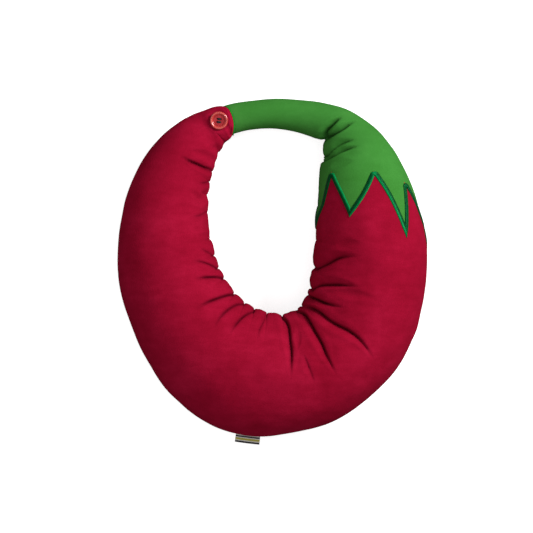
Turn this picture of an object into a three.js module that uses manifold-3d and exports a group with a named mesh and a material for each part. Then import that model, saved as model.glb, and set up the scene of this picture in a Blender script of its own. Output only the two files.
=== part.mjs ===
// Ring cushion shaped like a red fruit with a green calyx and stem. The stuffed ring lies flat on a table and
// closes with a button: the stem's end tucks under the flap at the red tip, and the button sewn to the stem
// comes up through the flap's buttonhole.
//
// Millimetres, +Z up. The origin is on the table, under the middle of the whole cushion, its label included. +Y
// points from the thick end of the ring to the stem, +X to the arm that carries the calyx. Front means the
// upper side, back the side on the table.
import * as THREE from "three";
import Module from "manifold-3d";
import { mergeVertices } from "three/addons/utils/BufferGeometryUtils.js";

const wasm = await Module();
wasm.setup();

// ---------------------------------------------------------------- driving dimensions
const MIDDLE_SHIFT = [-0.93, 5.7, 0]; // brings the middle of cushion and label over the origin

const PANEL = 1.5; // fabric and interfacing of a cover panel
const GAP = 0.5; // clearance between a cover panel and the filling
const ARM_GAP = 2.6; // the same in the right arm, whose panels are faceted along the zigzag
const STEM_GAP = 0.9; // the same in the stem
const SEAM_HALF = 0.7; // half of the slot between front and back panel that the seam thread runs in
const SEAM_THREAD = 0.8; // thickness of the seam thread run

// Places along the ring, counted in stations (see STATIONS).
const LEFT_FLEX = 8; // flex line between base and left arm
const RIGHT_FLEX = 14; // flex line between base and right arm
const CREASE = 23; // crease between calyx and stem
const TAPER_START = 29.55; // from here the stem's end closes
const STEM_END = 30.36;
const STEM_SEAM_END = 29.5;
const HINGE_GAP = 0.012; // set-back of each face at a flex line
const CREASE_GAP = 0.022; // the same at the stem crease, where stations are closer
const ZIGZAG_GAP = 0.02; // set-back of each fabric from the zigzag line

const BUTTON_X = -55.65;
const BUTTON_Y = 154.25;
const BUTTON_Z = 42.95; // underside of the button

// Stations round the ring, from the end of the left arm, down round the thick base, up the right arm and along
// the stem. Each is a vertical cross-section: outer edge x, y, inner edge x, y, half height, height of the
// section's middle above the table.
const STATIONS = [
  [-83.0, 160.7, -55.7, 121.3, 17.0, 27.5],
  [-98.7, 152.8, -60.4, 107.6, 22.0, 28.0],
  [-117.6, 136.0, -65.1, 91.9, 27.5, 29.0],
  [-137.6, 110.8, -67.7, 74.0, 32.0, 31.0],
  [-152.8, 75.1, -68.0, 57.2, 36.0, 34.0],
  [-160.7, 31.0, -66.2, 39.4, 39.5, 37.5],
  [-160.1, -13.1, -62.0, 21.5, 42.5, 40.5],
  [-149.1, -55.1, -56.2, 0.5, 44.5, 42.5],
  [-129.2, -99.2, -47.2, -16.3, 46.5, 44.5],
  [-98.7, -139.1, -34.6, -32.0, 48.5, 46.5],
  [-56.7, -167.5, -18.9, -42.5, 49.5, 47.5],
  [-12.6, -178.0, -2.1, -48.3, 49.5, 47.5],
  [33.6, -170.1, 15.8, -48.3, 49.0, 47.0],
  [76.7, -152.8, 29.4, -40.4, 48.5, 46.5],
  [115.5, -121.3, 38.9, -22.6, 48.5, 46.5],
  [142.8, -82.4, 42.5, -0.5, 48.5, 46.5],
  [157.5, -37.3, 43.9, 16.3, 48.5, 46.5],
  [162.2, 5.8, 45.1, 32.0, 47.3, 47.6],
  [159.1, 41.5, 46.7, 47.8, 45.7, 48.0],
  [150.2, 75.1, 48.3, 65.6, 43.8, 46.4],
  [138.6, 103.4, 49.1, 84.5, 40.3, 43.2],
  [122.9, 128.6, 50.4, 104.5, 35.4, 37.5],
  [104.0, 148.1, 54.1, 122.3, 28.0, 30.0],
  [78.8, 165.4, 53.0, 132.8, 20.5, 23.6],
  [52.5, 172.7, 41.5, 137.6, 17.3, 20.5],
  [29.4, 175.3, 22.6, 143.3, 15.5, 18.8],
  [3.2, 176.9, -1.1, 146.5, 14.8, 18.2],
  [-23.1, 174.8, -22.6, 144.9, 14.3, 18.0],
  [-44.1, 171.7, -38.3, 141.2, 14.0, 18.0],
  [-58.8, 167.0, -50.9, 137.0, 14.0, 18.0],
  [-70.4, 161.7, -62.0, 133.9, 14.0, 18.0],
];

// Zigzag line between the red cover and the green calyx, once round the section: angle in degrees (0 outer
// edge, 90 top, 180 inner edge, negative underneath) and station.
const ZIGZAG = [
  [181, 17.7], [133.1, 20.52], [110.2, 18.59], [71.7, 20.06], [49.4, 17.9],
  [27.1, 19.34], [-11, 17.45], [-42, 19.6], [-72, 18.2], [-103, 20.2],
  [-134, 18.4], [-158, 20.4], [-179, 17.7],
];

// Section angles of a panel between its edges, in degrees from the outer edge.
const PLAIN_ANGLES = [24, 44, 61, 74, 90, 106, 119, 136, 156]; // base is flat below from 74 to 106
const ARM_FRONT_ANGLES = [14, 27.1, 38, 49.4, 60, 71.7, 91, 110.2, 122, 133.1, 157];
const ARM_BACK_ANGLES = [11, 27, 42, 57, 72, 88, 103, 118, 134, 146, 158, 169];

// ---------------------------------------------------------------- materials
const material = (settings) => new THREE.MeshStandardMaterial(settings);
const RED = material({ color: 0x9a0e2b, roughness: 0.9 });
const GREEN = material({ color: 0x468c3c, roughness: 0.9 });
const EDGE = material({ color: 0x00622c, roughness: 0.6 });
const RED_THREAD = material({ color: 0x7c0a22, roughness: 0.7 });
const GREEN_THREAD = material({ color: 0x2f6b2c, roughness: 0.7 });
const BLACK_THREAD = material({ color: 0x0c1416, roughness: 0.6 });
const FIBRE = material({ color: 0xf2f1ec, roughness: 0.95 });
const LINING = material({ color: 0x8f0c27, roughness: 0.9 });
const BUTTON = material({ color: 0xc9343a, roughness: 0.35 });
const TAPE = material({ color: 0xe9e6da, roughness: 0.8 });

// ---------------------------------------------------------------- groups
const cushion = new THREE.Group();
cushion.position.set(...MIDDLE_SHIFT);
const groups = {};
for (const name of ["base", "left_arm", "right_arm", "stem", "tip_flap", "button", "label"]) {
  groups[name] = new THREE.Group();
  cushion.add(groups[name]);
}

function add(group, name, geometry, meshMaterial) {
  const mesh = new THREE.Mesh(geometry, meshMaterial);
  mesh.name = name;
  groups[group].add(mesh);
}

// ---------------------------------------------------------------- the ring's surface
const radians = (degrees) => (degrees * Math.PI) / 180;

// steps + 1 evenly spaced values from first to last.
const spread = (first, last, steps) =>
  Array.from({ length: steps + 1 }, (_, i) => first + ((last - first) * i) / steps);

// A row of STATIONS; one past either end continues in a straight line.
function stationRow(k) {
  const last = STATIONS.length - 1;
  if (k < 0) return STATIONS[0].map((v, j) => 2 * v - STATIONS[1][j]);
  if (k > last) return STATIONS[last].map((v, j) => 2 * v - STATIONS[last - 1][j]);
  return STATIONS[k];
}

// The section's six values at any place along the ring, by a Catmull-Rom curve through the stations.
function section(along) {
  const i = Math.max(0, Math.min(STATIONS.length - 2, Math.floor(along)));
  const u = along - i;
  const [before, start, end, after] = [i - 1, i, i + 1, i + 2].map(stationRow);
  return start.map(
    (_, j) =>
      0.5 *
      (2 * start[j] +
        (end[j] - before[j]) * u +
        (2 * before[j] - 5 * start[j] + 4 * end[j] - after[j]) * u * u +
        (3 * start[j] - before[j] - 3 * end[j] + after[j]) * u * u * u),
  );
}

// Size factor of the section, which rounds off the stem's end.
function taper(along) {
  if (along <= TAPER_START) return 1;
  const part = (along - TAPER_START) / (STEM_END - TAPER_START);
  return Math.sqrt(Math.max(0.02, 1 - part ** 2));
}

// Point of the ring's surface at a section angle in radians, inset mm inside the outside face.
function surface(along, angle, inset = 0) {
  const smallestHalf = 0.4;
  const [outerX, outerY, innerX, innerY, halfHeight, middleZ] = section(along);
  const width = Math.hypot(outerX - innerX, outerY - innerY);
  const factor = taper(along);
  const across = Math.max(smallestHalf, (width / 2) * factor - inset) * Math.cos(angle);
  const up = Math.max(smallestHalf, halfHeight * factor - inset) * Math.sin(angle);
  return new THREE.Vector3(
    (outerX + innerX) / 2 + ((outerX - innerX) / width) * across,
    (outerY + innerY) / 2 + ((outerY - innerY) / width) * across,
    Math.max(middleZ + up, inset), // the underside lies flat on the table
  );
}

// Outward normal of the surface.
function surfaceNormal(along, angle) {
  const step = 1e-3;
  const point = surface(along, angle);
  const normal = surface(along + step, angle)
    .sub(point)
    .cross(surface(along, angle + step).sub(point))
    .normalize();
  const [outerX, outerY, innerX, innerY, , middleZ] = section(along);
  const middle = new THREE.Vector3((outerX + innerX) / 2, (outerY + innerY) / 2, middleZ);
  return normal.dot(point.sub(middle)) < 0 ? normal.negate() : normal;
}

// Station of the zigzag line at a section angle in degrees. Both ends of the line stand at one station, which
// also serves angles just past the table.
function zigzag(degrees) {
  for (let i = 0; i + 1 < ZIGZAG.length; i++) {
    const [a, stationA] = ZIGZAG[i];
    const [b, stationB] = ZIGZAG[i + 1];
    if (degrees <= a && degrees >= b) {
      return stationA + ((degrees - a) / (b - a)) * (stationB - stationA);
    }
  }
  return ZIGZAG[0][1];
}

// ---------------------------------------------------------------- solids
// Turns an indexed solid's faces outward if they face inward.
function outward(geometry) {
  const { position } = geometry.attributes;
  const index = geometry.index.array;
  const [a, b, c] = [0, 1, 2].map(() => new THREE.Vector3());
  let volume = 0;
  for (let i = 0; i < index.length; i += 3) {
    a.fromBufferAttribute(position, index[i]);
    b.fromBufferAttribute(position, index[i + 1]);
    c.fromBufferAttribute(position, index[i + 2]);
    volume += a.dot(b.cross(c));
  }
  if (volume < 0) {
    for (let i = 0; i < index.length; i += 3) {
      [index[i + 1], index[i + 2]] = [index[i + 2], index[i + 1]];
    }
  }
  return geometry;
}

// Triangles that close a loop of size points: "strip" for a C-shaped loop whose second half runs back inside
// its first half, "fan" for a convex one.
function capTriangles(size, cap) {
  const triangles = [];
  if (cap === "strip") {
    for (let j = 0; j < size / 2 - 1; j++) {
      const opposite = size - 1 - j;
      triangles.push([j, opposite, j + 1], [j + 1, opposite, opposite - 1]);
    }
  } else {
    for (let j = 1; j < size - 1; j++) triangles.push([0, j + 1, j]);
  }
  return triangles;
}

// A closed solid through loops of points, one loop per row, with flat caps.
function loft(rows, cap) {
  const size = rows[0].length;
  const index = [];
  for (let i = 0; i + 1 < rows.length; i++) {
    for (let j = 0; j < size; j++) {
      const a = i * size + j;
      const b = i * size + ((j + 1) % size);
      index.push(a, b, b + size, a, b + size, a + size);
    }
  }
  const triangles = capTriangles(size, cap);
  const last = (rows.length - 1) * size;
  for (const [a, b, c] of triangles) index.push(a, b, c);
  for (const [a, b, c] of triangles) index.push(last + a, last + c, last + b);

  const vertices = rows.flat().flatMap((p) => [p.x, p.y, p.z]);
  const geometry = new THREE.BufferGeometry();
  geometry.setAttribute("position", new THREE.Float32BufferAttribute(vertices, 3));
  geometry.setIndex(index);
  return outward(geometry);
}

// A cover panel: side +1 is the front, -1 the back. startAt and endAt give its end stations at a section angle
// in degrees; places, 0 to 1, are where its sections stand between them.
function panel(startAt, endAt, places, side, angles = PLAIN_ANGLES) {
  const rows = places.map((place) => {
    const between = (degrees) => {
      const start = startAt(degrees * side);
      return start + (endAt(degrees * side) - start) * place;
    };
    const line = (inset, list) =>
      list.map((degrees) => surface(between(degrees), radians(degrees) * side, inset));
    // The panel's edges stop short of the seam line by SEAM_HALF.
    const halfHeight = section(between(0))[4] * taper(between(0));
    const edgeSine = Math.min(0.9, SEAM_HALF / halfHeight);
    const edge = Math.min(14, (Math.asin(edgeSine) * 180) / Math.PI);
    const list = [edge, ...angles, 180 - edge];
    return [...line(0, list), ...line(PANEL, [...list].reverse())];
  });
  return loft(rows, "strip");
}

function filling(stations, gap = GAP) {
  const around = [0, ...PLAIN_ANGLES, 180, ...PLAIN_ANGLES.map((d) => -d).reverse()];
  const rows = stations.map((along) => around.map((d) => surface(along, radians(d), PANEL + gap)));
  return loft(rows, "fan");
}

// The stitched seam between front and back panel: along the outer edge (0 degrees) or the inner edge (180).
function seam(stations, degrees) {
  const outsideInset = 0.3;
  const insideInset = PANEL - 0.2;
  const half = SEAM_THREAD / 2;
  const rows = stations.map((along) => {
    const outside = surface(along, radians(degrees), outsideInset);
    const inside = surface(along, radians(degrees), insideInset);
    return [
      new THREE.Vector3(outside.x, outside.y, outside.z - half),
      new THREE.Vector3(outside.x, outside.y, outside.z + half),
      new THREE.Vector3(inside.x, inside.y, inside.z + half),
      new THREE.Vector3(inside.x, inside.y, inside.z - half),
    ];
  });
  return loft(rows, "fan");
}

// An upright round rod, over the button's centre unless placed elsewhere.
function rod({ radius, bottom, top, segments }, x = BUTTON_X, y = BUTTON_Y) {
  return new THREE.CylinderGeometry(radius, radius, top - bottom, segments)
    .rotateX(Math.PI / 2)
    .translate(x, y, (bottom + top) / 2);
}

// ---------------------------------------------------------------- booleans
function solid(geometry) {
  const bare = geometry.clone();
  bare.deleteAttribute("normal");
  bare.deleteAttribute("uv");
  const merged = outward(mergeVertices(bare, 1e-4));
  return new wasm.Manifold(
    new wasm.Mesh({
      numProp: 3,
      vertProperties: new Float32Array(merged.attributes.position.array),
      triVerts: new Uint32Array(merged.index.array),
    }),
  );
}

function geometryOf(manifold) {
  const mesh = manifold.getMesh();
  const vertices = new Float32Array(mesh.numVert * 3);
  for (let i = 0; i < mesh.numVert; i++) {
    const start = i * mesh.numProp;
    vertices.set(mesh.vertProperties.subarray(start, start + 3), i * 3);
  }
  const geometry = new THREE.BufferGeometry();
  geometry.setAttribute("position", new THREE.BufferAttribute(vertices, 3));
  geometry.setIndex(new THREE.BufferAttribute(new Uint32Array(mesh.triVerts), 1));
  return geometry;
}

const cut = (geometry, ...tools) =>
  geometryOf(tools.reduce((rest, tool) => rest.subtract(solid(tool)), solid(geometry)));

// ---------------------------------------------------------------- base and left arm
// A red length of the ring with straight ends: two panels, filling and two seams.
function addPlainLength(group, prefix, start, end, steps, innerSeam) {
  const places = spread(0, 1, steps);
  const stations = spread(start, end, steps);
  const startAt = () => start;
  const endAt = () => end;
  add(group, `${prefix}_front_panel`, panel(startAt, endAt, places, 1), RED);
  add(group, `${prefix}_back_panel`, panel(startAt, endAt, places, -1), RED);
  add(group, `${prefix}_filling`, filling(stations), FIBRE);
  add(group, `${prefix}_outer_seam`, seam(stations, 0), RED_THREAD);
  add(group, `${prefix}_${innerSeam}`, seam(stations, 180), RED_THREAD);
}

const BASE_START = LEFT_FLEX + HINGE_GAP;
const BASE_END = RIGHT_FLEX - HINGE_GAP;
addPlainLength("base", "base", BASE_START, BASE_END, 9, "inner_closing_seam");
addPlainLength("left_arm", "left", 0, LEFT_FLEX - HINGE_GAP, 11, "inner_seam");

// ---------------------------------------------------------------- right arm and calyx
const EDGING_WIDTH = 5.0;
const EDGING_RISE = 1.2;
const EDGING_CLEAR = 0.6; // height of the edging's underside over the panels
const EDGING_STEP = 12.5; // approximate length of one piece of the edging's path
const LONGEST_MITRE = 3.2; // limit of the widening at a corner

// Points [station, angle in radians] along the zigzag between two angles in degrees.
function edgingPath(from, to) {
  const corners = ZIGZAG.filter(([degrees]) => (degrees - from) * (degrees - to) < 0);
  const line = [[from, zigzag(from)], ...corners, [to, zigzag(to)]];
  const path = [];
  for (let i = 0; i + 1 < line.length; i++) {
    const [a, stationA] = line[i];
    const [b, stationB] = line[i + 1];
    const length = surface(stationA, radians(a)).distanceTo(surface(stationB, radians(b)));
    const count = Math.max(1, Math.round(length / EDGING_STEP));
    for (let k = 0; k < count; k++) {
      path.push([
        stationA + ((stationB - stationA) * k) / count,
        radians(a + ((b - a) * k) / count),
      ]);
    }
  }
  path.push([zigzag(to), radians(to)]);
  return path;
}

// Raised satin-stitched border over the zigzag, with mitred corners, lying just clear of the panels.
function edging(from, to) {
  const path = edgingPath(from, to);
  const points = path.map(([along, angle]) => surface(along, angle));
  const across = (start, end, normal) =>
    normal.clone().cross(end.clone().sub(start).normalize()).normalize();
  const rows = points.map((point, i) => {
    const normal = surfaceNormal(...path[i]);
    const before = i > 0 ? across(points[i - 1], point, normal) : null;
    const after = i + 1 < points.length ? across(point, points[i + 1], normal) : null;
    const corner = before && after;
    const mitre = corner ? before.clone().add(after).normalize() : before || after;
    const stretch = corner ? Math.min(LONGEST_MITRE, 1 / Math.max(0.2, mitre.dot(before))) : 1;
    const place = (side, height) =>
      point
        .clone()
        .addScaledVector(mitre, (side * EDGING_WIDTH * stretch) / 2)
        .addScaledVector(normal, height);
    const top = EDGING_CLEAR + EDGING_RISE;
    return [place(1, EDGING_CLEAR), place(1, top), place(-1, top), place(-1, EDGING_CLEAR)];
  });
  return loft(rows, "fan");
}

function addRightArm() {
  const start = RIGHT_FLEX + HINGE_GAP;
  const end = CREASE - CREASE_GAP;
  const startAt = () => start;
  const endAt = () => end;
  const redEnd = (degrees) => zigzag(degrees) - ZIGZAG_GAP;
  const greenStart = (degrees) => zigzag(degrees) + ZIGZAG_GAP;
  const part = (name, geometry, meshMaterial) => add("right_arm", name, geometry, meshMaterial);

  const redPlaces = spread(0, 1, 6);
  part("right_front_panel", panel(startAt, redEnd, redPlaces, 1, ARM_FRONT_ANGLES), RED);
  part("right_back_panel", panel(startAt, redEnd, redPlaces, -1, ARM_BACK_ANGLES), RED);
  part("right_filling", filling(spread(start, end, 12), ARM_GAP), FIBRE);
  part("right_outer_seam", seam(spread(start, redEnd(0), 6), 0), RED_THREAD);
  part("right_inner_seam", seam(spread(start, redEnd(180), 5), 180), RED_THREAD);

  const greenPlaces = spread(0, 1, 5);
  part("calyx_front_panel", panel(greenStart, endAt, greenPlaces, 1, ARM_FRONT_ANGLES), GREEN);
  part("calyx_back_panel", panel(greenStart, endAt, greenPlaces, -1, ARM_BACK_ANGLES), GREEN);
  part("calyx_outer_seam", seam(spread(greenStart(0), end, 5), 0), GREEN_THREAD);
  part("calyx_inner_seam", seam(spread(greenStart(180), end, 5), 180), GREEN_THREAD);
  part("calyx_edging_front", edging(178, 2), EDGE);
  part("calyx_edging_back", edging(-2, -177), EDGE);
}
addRightArm();

// ---------------------------------------------------------------- stem
const STEM_START = CREASE + CREASE_GAP;
// Stations of the stem's sections, closer together where its end rounds off.
const STEM_STATIONS = [
  STEM_START, 23.7, 24.4, 25.2, 26, 27, 28, 28.8,
  TAPER_START, 29.8, 30.02, 30.2, 30.31, STEM_END,
];
const STEM_FILLING_STATIONS = STEM_STATIONS.slice(0, -3); // the filling stops short of the end
const STEM_HOLE = { radius: 1.8, bottom: 20, top: 44, segments: 12 };
const PATCH_POCKET = { radius: 6.1, bottom: 24.5, top: 44, segments: 18 };
const ANCHOR_PATCH = { radius: 5.5, bottom: 24.9, top: 26.0, segments: 18 };
const SHANK = { radius: 1.25, bottom: 26.35, top: BUTTON_Z - 0.45, segments: 12 };

function addStem() {
  const places = STEM_STATIONS.map((along) => (along - STEM_START) / (STEM_END - STEM_START));
  const cover = (side) => panel(() => STEM_START, () => STEM_END, places, side);
  const stuffing = filling(STEM_FILLING_STATIONS, STEM_GAP);
  const seamStations = spread(STEM_START, STEM_SEAM_END, 8);
  add("stem", "stem_front_panel", cut(cover(1), rod(STEM_HOLE)), GREEN);
  add("stem", "stem_back_panel", cover(-1), GREEN);
  add("stem", "stem_filling", cut(stuffing, rod(PATCH_POCKET)), FIBRE);
  add("stem", "stem_outer_seam", seam(seamStations, 0), GREEN_THREAD);
  add("stem", "stem_inner_seam", seam(seamStations, 180), GREEN_THREAD);
  add("stem", "anchor_patch", rod(ANCHOR_PATCH), TAPE);
  add("stem", "button_shank", rod(SHANK), BLACK_THREAD);
}
addStem();

// ---------------------------------------------------------------- tip flap with its buttonhole
const BUTTONHOLE_LENGTH = 18.5;
const BUTTONHOLE_WIDTH = 3.4;
const BUTTONHOLE_ANGLE = 0.37; // of the slit from +X, radians

// Bottom and top of each layer of the flap.
const LINING_Z = [33.0, 34.0];
const PADDING_Z = [34.4, 40.1];
const FRONT_PLY_Z = [40.5, 41.6];
const STITCHING_Z = [41.9, 42.5];
const PADDING_INSET = 2.5; // of the padding's outline inside the flap's

// Outline of the flap, x, y, clockwise from above, starting at the left arm's outer edge.
const FLAP = [
  [-82.3, 161.1], [-70.4, 166.2], [-59.9, 169.4], [-49.5, 169.2],
  [-45.0, 166.6], [-42.6, 162.0], [-40.4, 152.0], [-40.3, 142.0],
  [-42.2, 138.0], [-46.0, 134.6], [-50.6, 131.4], [-55.2, 121.8],
];
const FLAP_FREE_END = FLAP.slice(3, 9);
const PIPING_RADIUS = 0.7;
const PIPING_OFFSET = 1.25; // from the flap's outline to the cord's middle
const PIPING_Z = 41.0;

// Clockwise outline of the buttonhole with round ends, grown in length and width, each end in arcSteps.
function slit(growth, arcSteps = 6) {
  const radius = (BUTTONHOLE_WIDTH + growth) / 2;
  const half = (BUTTONHOLE_LENGTH + growth) / 2 - radius;
  const cos = Math.cos(BUTTONHOLE_ANGLE);
  const sin = Math.sin(BUTTONHOLE_ANGLE);
  const points = [];
  for (const side of [1, -1]) {
    for (let i = 0; i <= arcSteps; i++) {
      const turn = (Math.PI * i) / arcSteps;
      const x = side * (half + radius * Math.sin(turn));
      const y = side * radius * Math.cos(turn);
      points.push([BUTTON_X + x * cos - y * sin, BUTTON_Y + x * sin + y * cos]);
    }
  }
  return points;
}

function trace(path, points) {
  points.forEach(([x, y], i) => (i ? path.lineTo(x, y) : path.moveTo(x, y)));
  path.closePath();
  return path;
}

// A flat plate with a hole. Both outlines run clockwise, so the hole's is reversed.
function plate(points, [bottom, top], hole) {
  const shape = trace(new THREE.Shape(), points);
  shape.holes.push(trace(new THREE.Path(), [...hole].reverse()));
  const settings = { depth: top - bottom, bevelEnabled: false };
  return new THREE.ExtrudeGeometry(shape, settings).translate(0, 0, bottom);
}

// The outline with every point drawn towards the mean point by a distance.
function shrink(points, distance) {
  const mean = (axis) => points.reduce((sum, p) => sum + p[axis], 0) / points.length;
  const [meanX, meanY] = [mean(0), mean(1)];
  return points.map(([x, y]) => {
    const reach = Math.hypot(x - meanX, y - meanY);
    return [
      meanX + ((x - meanX) * (reach - distance)) / reach,
      meanY + ((y - meanY) * (reach - distance)) / reach,
    ];
  });
}

// A fine cord round the flap's free end.
function piping() {
  const path = FLAP_FREE_END;
  const rows = path.map(([x, y], i) => {
    const [beforeX, beforeY] = path[Math.max(0, i - 1)];
    const [afterX, afterY] = path[Math.min(path.length - 1, i + 1)];
    const length = Math.hypot(afterX - beforeX, afterY - beforeY);
    const outX = -(afterY - beforeY) / length;
    const outY = (afterX - beforeX) / length;
    return Array.from({ length: 8 }, (_, k) => {
      const angle = (k * Math.PI) / 4;
      const out = PIPING_OFFSET + PIPING_RADIUS * Math.cos(angle);
      const z = PIPING_Z + PIPING_RADIUS * Math.sin(angle);
      return new THREE.Vector3(x + outX * out, y + outY * out, z);
    });
  });
  return loft(rows, "fan");
}

function addTipFlap() {
  const hole = slit(0);
  const padding = plate(shrink(FLAP, PADDING_INSET), PADDING_Z, slit(2));
  const stitching = plate(slit(3.2, 8), STITCHING_Z, slit(0.2, 8));
  add("tip_flap", "flap_lining", plate(FLAP, LINING_Z, hole), LINING);
  add("tip_flap", "flap_padding", padding, FIBRE);
  add("tip_flap", "flap_front_ply", plate(FLAP, FRONT_PLY_Z, hole), RED);
  add("tip_flap", "buttonhole_stitching", stitching, RED_THREAD);
  add("tip_flap", "flap_end_piping", piping(), GREEN_THREAD);
}
addTipFlap();

// ---------------------------------------------------------------- button
const BUTTON_WELL = 1.8; // height of the face's middle over the underside
const HOLE_PITCH = 3.2;
const HOLE_RADIUS = 1.05;
const HOLES_TURN = -0.14; // turn of the square of holes, radians
const STITCH_RADIUS = 0.65;

// Half section of the button: radius, height over the underside.
const BUTTON_PROFILE = [
  [0, 0], [6.6, 0], [8.6, 0.5], [9.4, 1.3], [9.5, 2.1], [9.1, 3.0],
  [8.2, 3.4], [7.2, 3.2], [6.3, 2.4], [5.4, 1.9], [0, BUTTON_WELL],
];

// Place in the square of holes, whose corners are at column and row -1 or 1.
function holeAt(column, row) {
  const cos = Math.cos(HOLES_TURN);
  const sin = Math.sin(HOLES_TURN);
  return [
    BUTTON_X + (column * cos - row * sin) * (HOLE_PITCH / 2),
    BUTTON_Y + (column * sin + row * cos) * (HOLE_PITCH / 2),
  ];
}

function buttonDisc() {
  const profile = BUTTON_PROFILE.map(([radius, z]) => new THREE.Vector2(radius, z));
  const disc = new THREE.LatheGeometry(profile, 28)
    .rotateX(Math.PI / 2)
    .translate(BUTTON_X, BUTTON_Y, BUTTON_Z);
  const drill = { radius: HOLE_RADIUS, bottom: BUTTON_Z - 1, top: BUTTON_Z + 5, segments: 10 };
  const corners = [[-1, -1], [1, -1], [-1, 1], [1, 1]];
  return cut(disc, ...corners.map((corner) => rod(drill, ...holeAt(...corner))));
}

// A bar of thread over the button's face, with a leg down through each of two holes.
function stitch(row) {
  const radius = STITCH_RADIUS;
  const barZ = BUTTON_Z + BUTTON_WELL + radius + 0.15;
  const leg = { radius, bottom: BUTTON_Z - 0.1, top: barZ, segments: 8 };
  const bar = new THREE.CylinderGeometry(radius, radius, HOLE_PITCH + 2 * radius, 8)
    .rotateZ(Math.PI / 2)
    .rotateZ(HOLES_TURN)
    .translate(...holeAt(0, row), barZ);
  const legs = [-1, 1].map((column) => solid(rod(leg, ...holeAt(column, row))));
  return geometryOf(solid(bar).add(legs[0]).add(legs[1]));
}

add("button", "button_disc", buttonDisc(), BUTTON);
add("button", "button_stitch_upper", stitch(1), BLACK_THREAD);
add("button", "button_stitch_lower", stitch(-1), BLACK_THREAD);

// ---------------------------------------------------------------- label
const LABEL_STATION = 10.72;
const LABEL_WIDTH = 26;
const LABEL_DEPTH = 8.6;
const LABEL_THICKNESS = 1.2;
const LABEL_CLEAR = 1.0; // from the outer edge to the tape

// A tape standing out from the outer seam, its long side along the seam.
function label() {
  const [outerX, outerY, , , , middleZ] = section(LABEL_STATION);
  const [beforeX, beforeY] = section(LABEL_STATION - 0.2);
  const [afterX, afterY] = section(LABEL_STATION + 0.2);
  return new THREE.BoxGeometry(LABEL_WIDTH, LABEL_DEPTH, LABEL_THICKNESS)
    .translate(0, -LABEL_DEPTH / 2 - LABEL_CLEAR, 0)
    .rotateZ(Math.atan2(afterY - beforeY, afterX - beforeX))
    .translate(outerX, outerY, middleZ);
}
add("label", "label_tape", label(), TAPE);

export default cushion;
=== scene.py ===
# Looks for the ring cushion: sewn velour covers with their folds, the satin border, the cords, the button and the
# label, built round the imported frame. Metres.
import math

import bpy
import numpy as np
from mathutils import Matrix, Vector


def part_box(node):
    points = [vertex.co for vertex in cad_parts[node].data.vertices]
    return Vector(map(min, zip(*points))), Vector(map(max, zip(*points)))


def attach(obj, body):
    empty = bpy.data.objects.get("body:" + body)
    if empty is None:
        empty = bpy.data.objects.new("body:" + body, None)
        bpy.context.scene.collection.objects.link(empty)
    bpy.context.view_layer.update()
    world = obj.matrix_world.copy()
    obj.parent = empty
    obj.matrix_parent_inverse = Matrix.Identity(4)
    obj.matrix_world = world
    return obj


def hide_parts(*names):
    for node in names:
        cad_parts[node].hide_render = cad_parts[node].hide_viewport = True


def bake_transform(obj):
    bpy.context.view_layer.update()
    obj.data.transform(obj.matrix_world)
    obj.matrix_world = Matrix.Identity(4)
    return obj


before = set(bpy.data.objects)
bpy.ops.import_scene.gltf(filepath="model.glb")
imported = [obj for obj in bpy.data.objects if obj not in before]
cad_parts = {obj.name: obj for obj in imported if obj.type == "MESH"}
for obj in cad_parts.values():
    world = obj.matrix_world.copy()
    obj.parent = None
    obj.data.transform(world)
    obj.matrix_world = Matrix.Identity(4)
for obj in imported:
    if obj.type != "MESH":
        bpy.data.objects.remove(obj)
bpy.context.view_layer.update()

PI = math.pi
rng = np.random.default_rng(7)

# ------------------------------------------------------------------ the ring's surface
STATIONS = np.array([
    [-83.0, 160.7, -55.7, 121.3, 17.0, 27.5], [-98.7, 152.8, -60.4, 107.6, 22.0, 28.0],
    [-117.6, 136.0, -65.1, 91.9, 27.5, 29.0], [-137.6, 110.8, -67.7, 74.0, 32.0, 31.0],
    [-152.8, 75.1, -68.0, 57.2, 36.0, 34.0], [-160.7, 31.0, -66.2, 39.4, 39.5, 37.5],
    [-160.1, -13.1, -62.0, 21.5, 42.5, 40.5], [-149.1, -55.1, -56.2, 0.5, 44.5, 42.5],
    [-129.2, -99.2, -47.2, -16.3, 46.5, 44.5], [-98.7, -139.1, -34.6, -32.0, 48.5, 46.5],
    [-56.7, -167.5, -18.9, -42.5, 49.5, 47.5], [-12.6, -178.0, -2.1, -48.3, 49.5, 47.5],
    [33.6, -170.1, 15.8, -48.3, 49.0, 47.0], [76.7, -152.8, 29.4, -40.4, 48.5, 46.5],
    [115.5, -121.3, 38.9, -22.6, 48.5, 46.5], [142.8, -82.4, 42.5, -0.5, 48.5, 46.5],
    [157.5, -37.3, 43.9, 16.3, 48.5, 46.5], [162.2, 5.8, 45.1, 32.0, 47.3, 47.6],
    [159.1, 41.5, 46.7, 47.8, 45.7, 48.0], [150.2, 75.1, 48.3, 65.6, 43.8, 46.4],
    [138.6, 103.4, 49.1, 84.5, 40.3, 43.2], [122.9, 128.6, 50.4, 104.5, 35.4, 37.5],
    [104.0, 148.1, 54.1, 122.3, 28.0, 30.0], [78.8, 165.4, 53.0, 132.8, 20.5, 23.6],
    [52.5, 172.7, 41.5, 137.6, 17.3, 20.5], [29.4, 175.3, 22.6, 143.3, 15.5, 18.8],
    [3.2, 176.9, -1.1, 146.5, 14.8, 18.2], [-23.1, 174.8, -22.6, 144.9, 14.3, 18.0],
    [-44.1, 171.7, -38.3, 141.2, 14.0, 18.0], [-58.8, 167.0, -50.9, 137.0, 14.0, 18.0],
    [-70.4, 161.7, -62.0, 133.9, 14.0, 18.0]]) / 1000.0
DX, DY = -0.00093, 0.0057   # the plan's own origin, seen from the middle of the whole object's box
STATIONS[:, [0, 2]] += DX
STATIONS[:, [1, 3]] += DY
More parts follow.
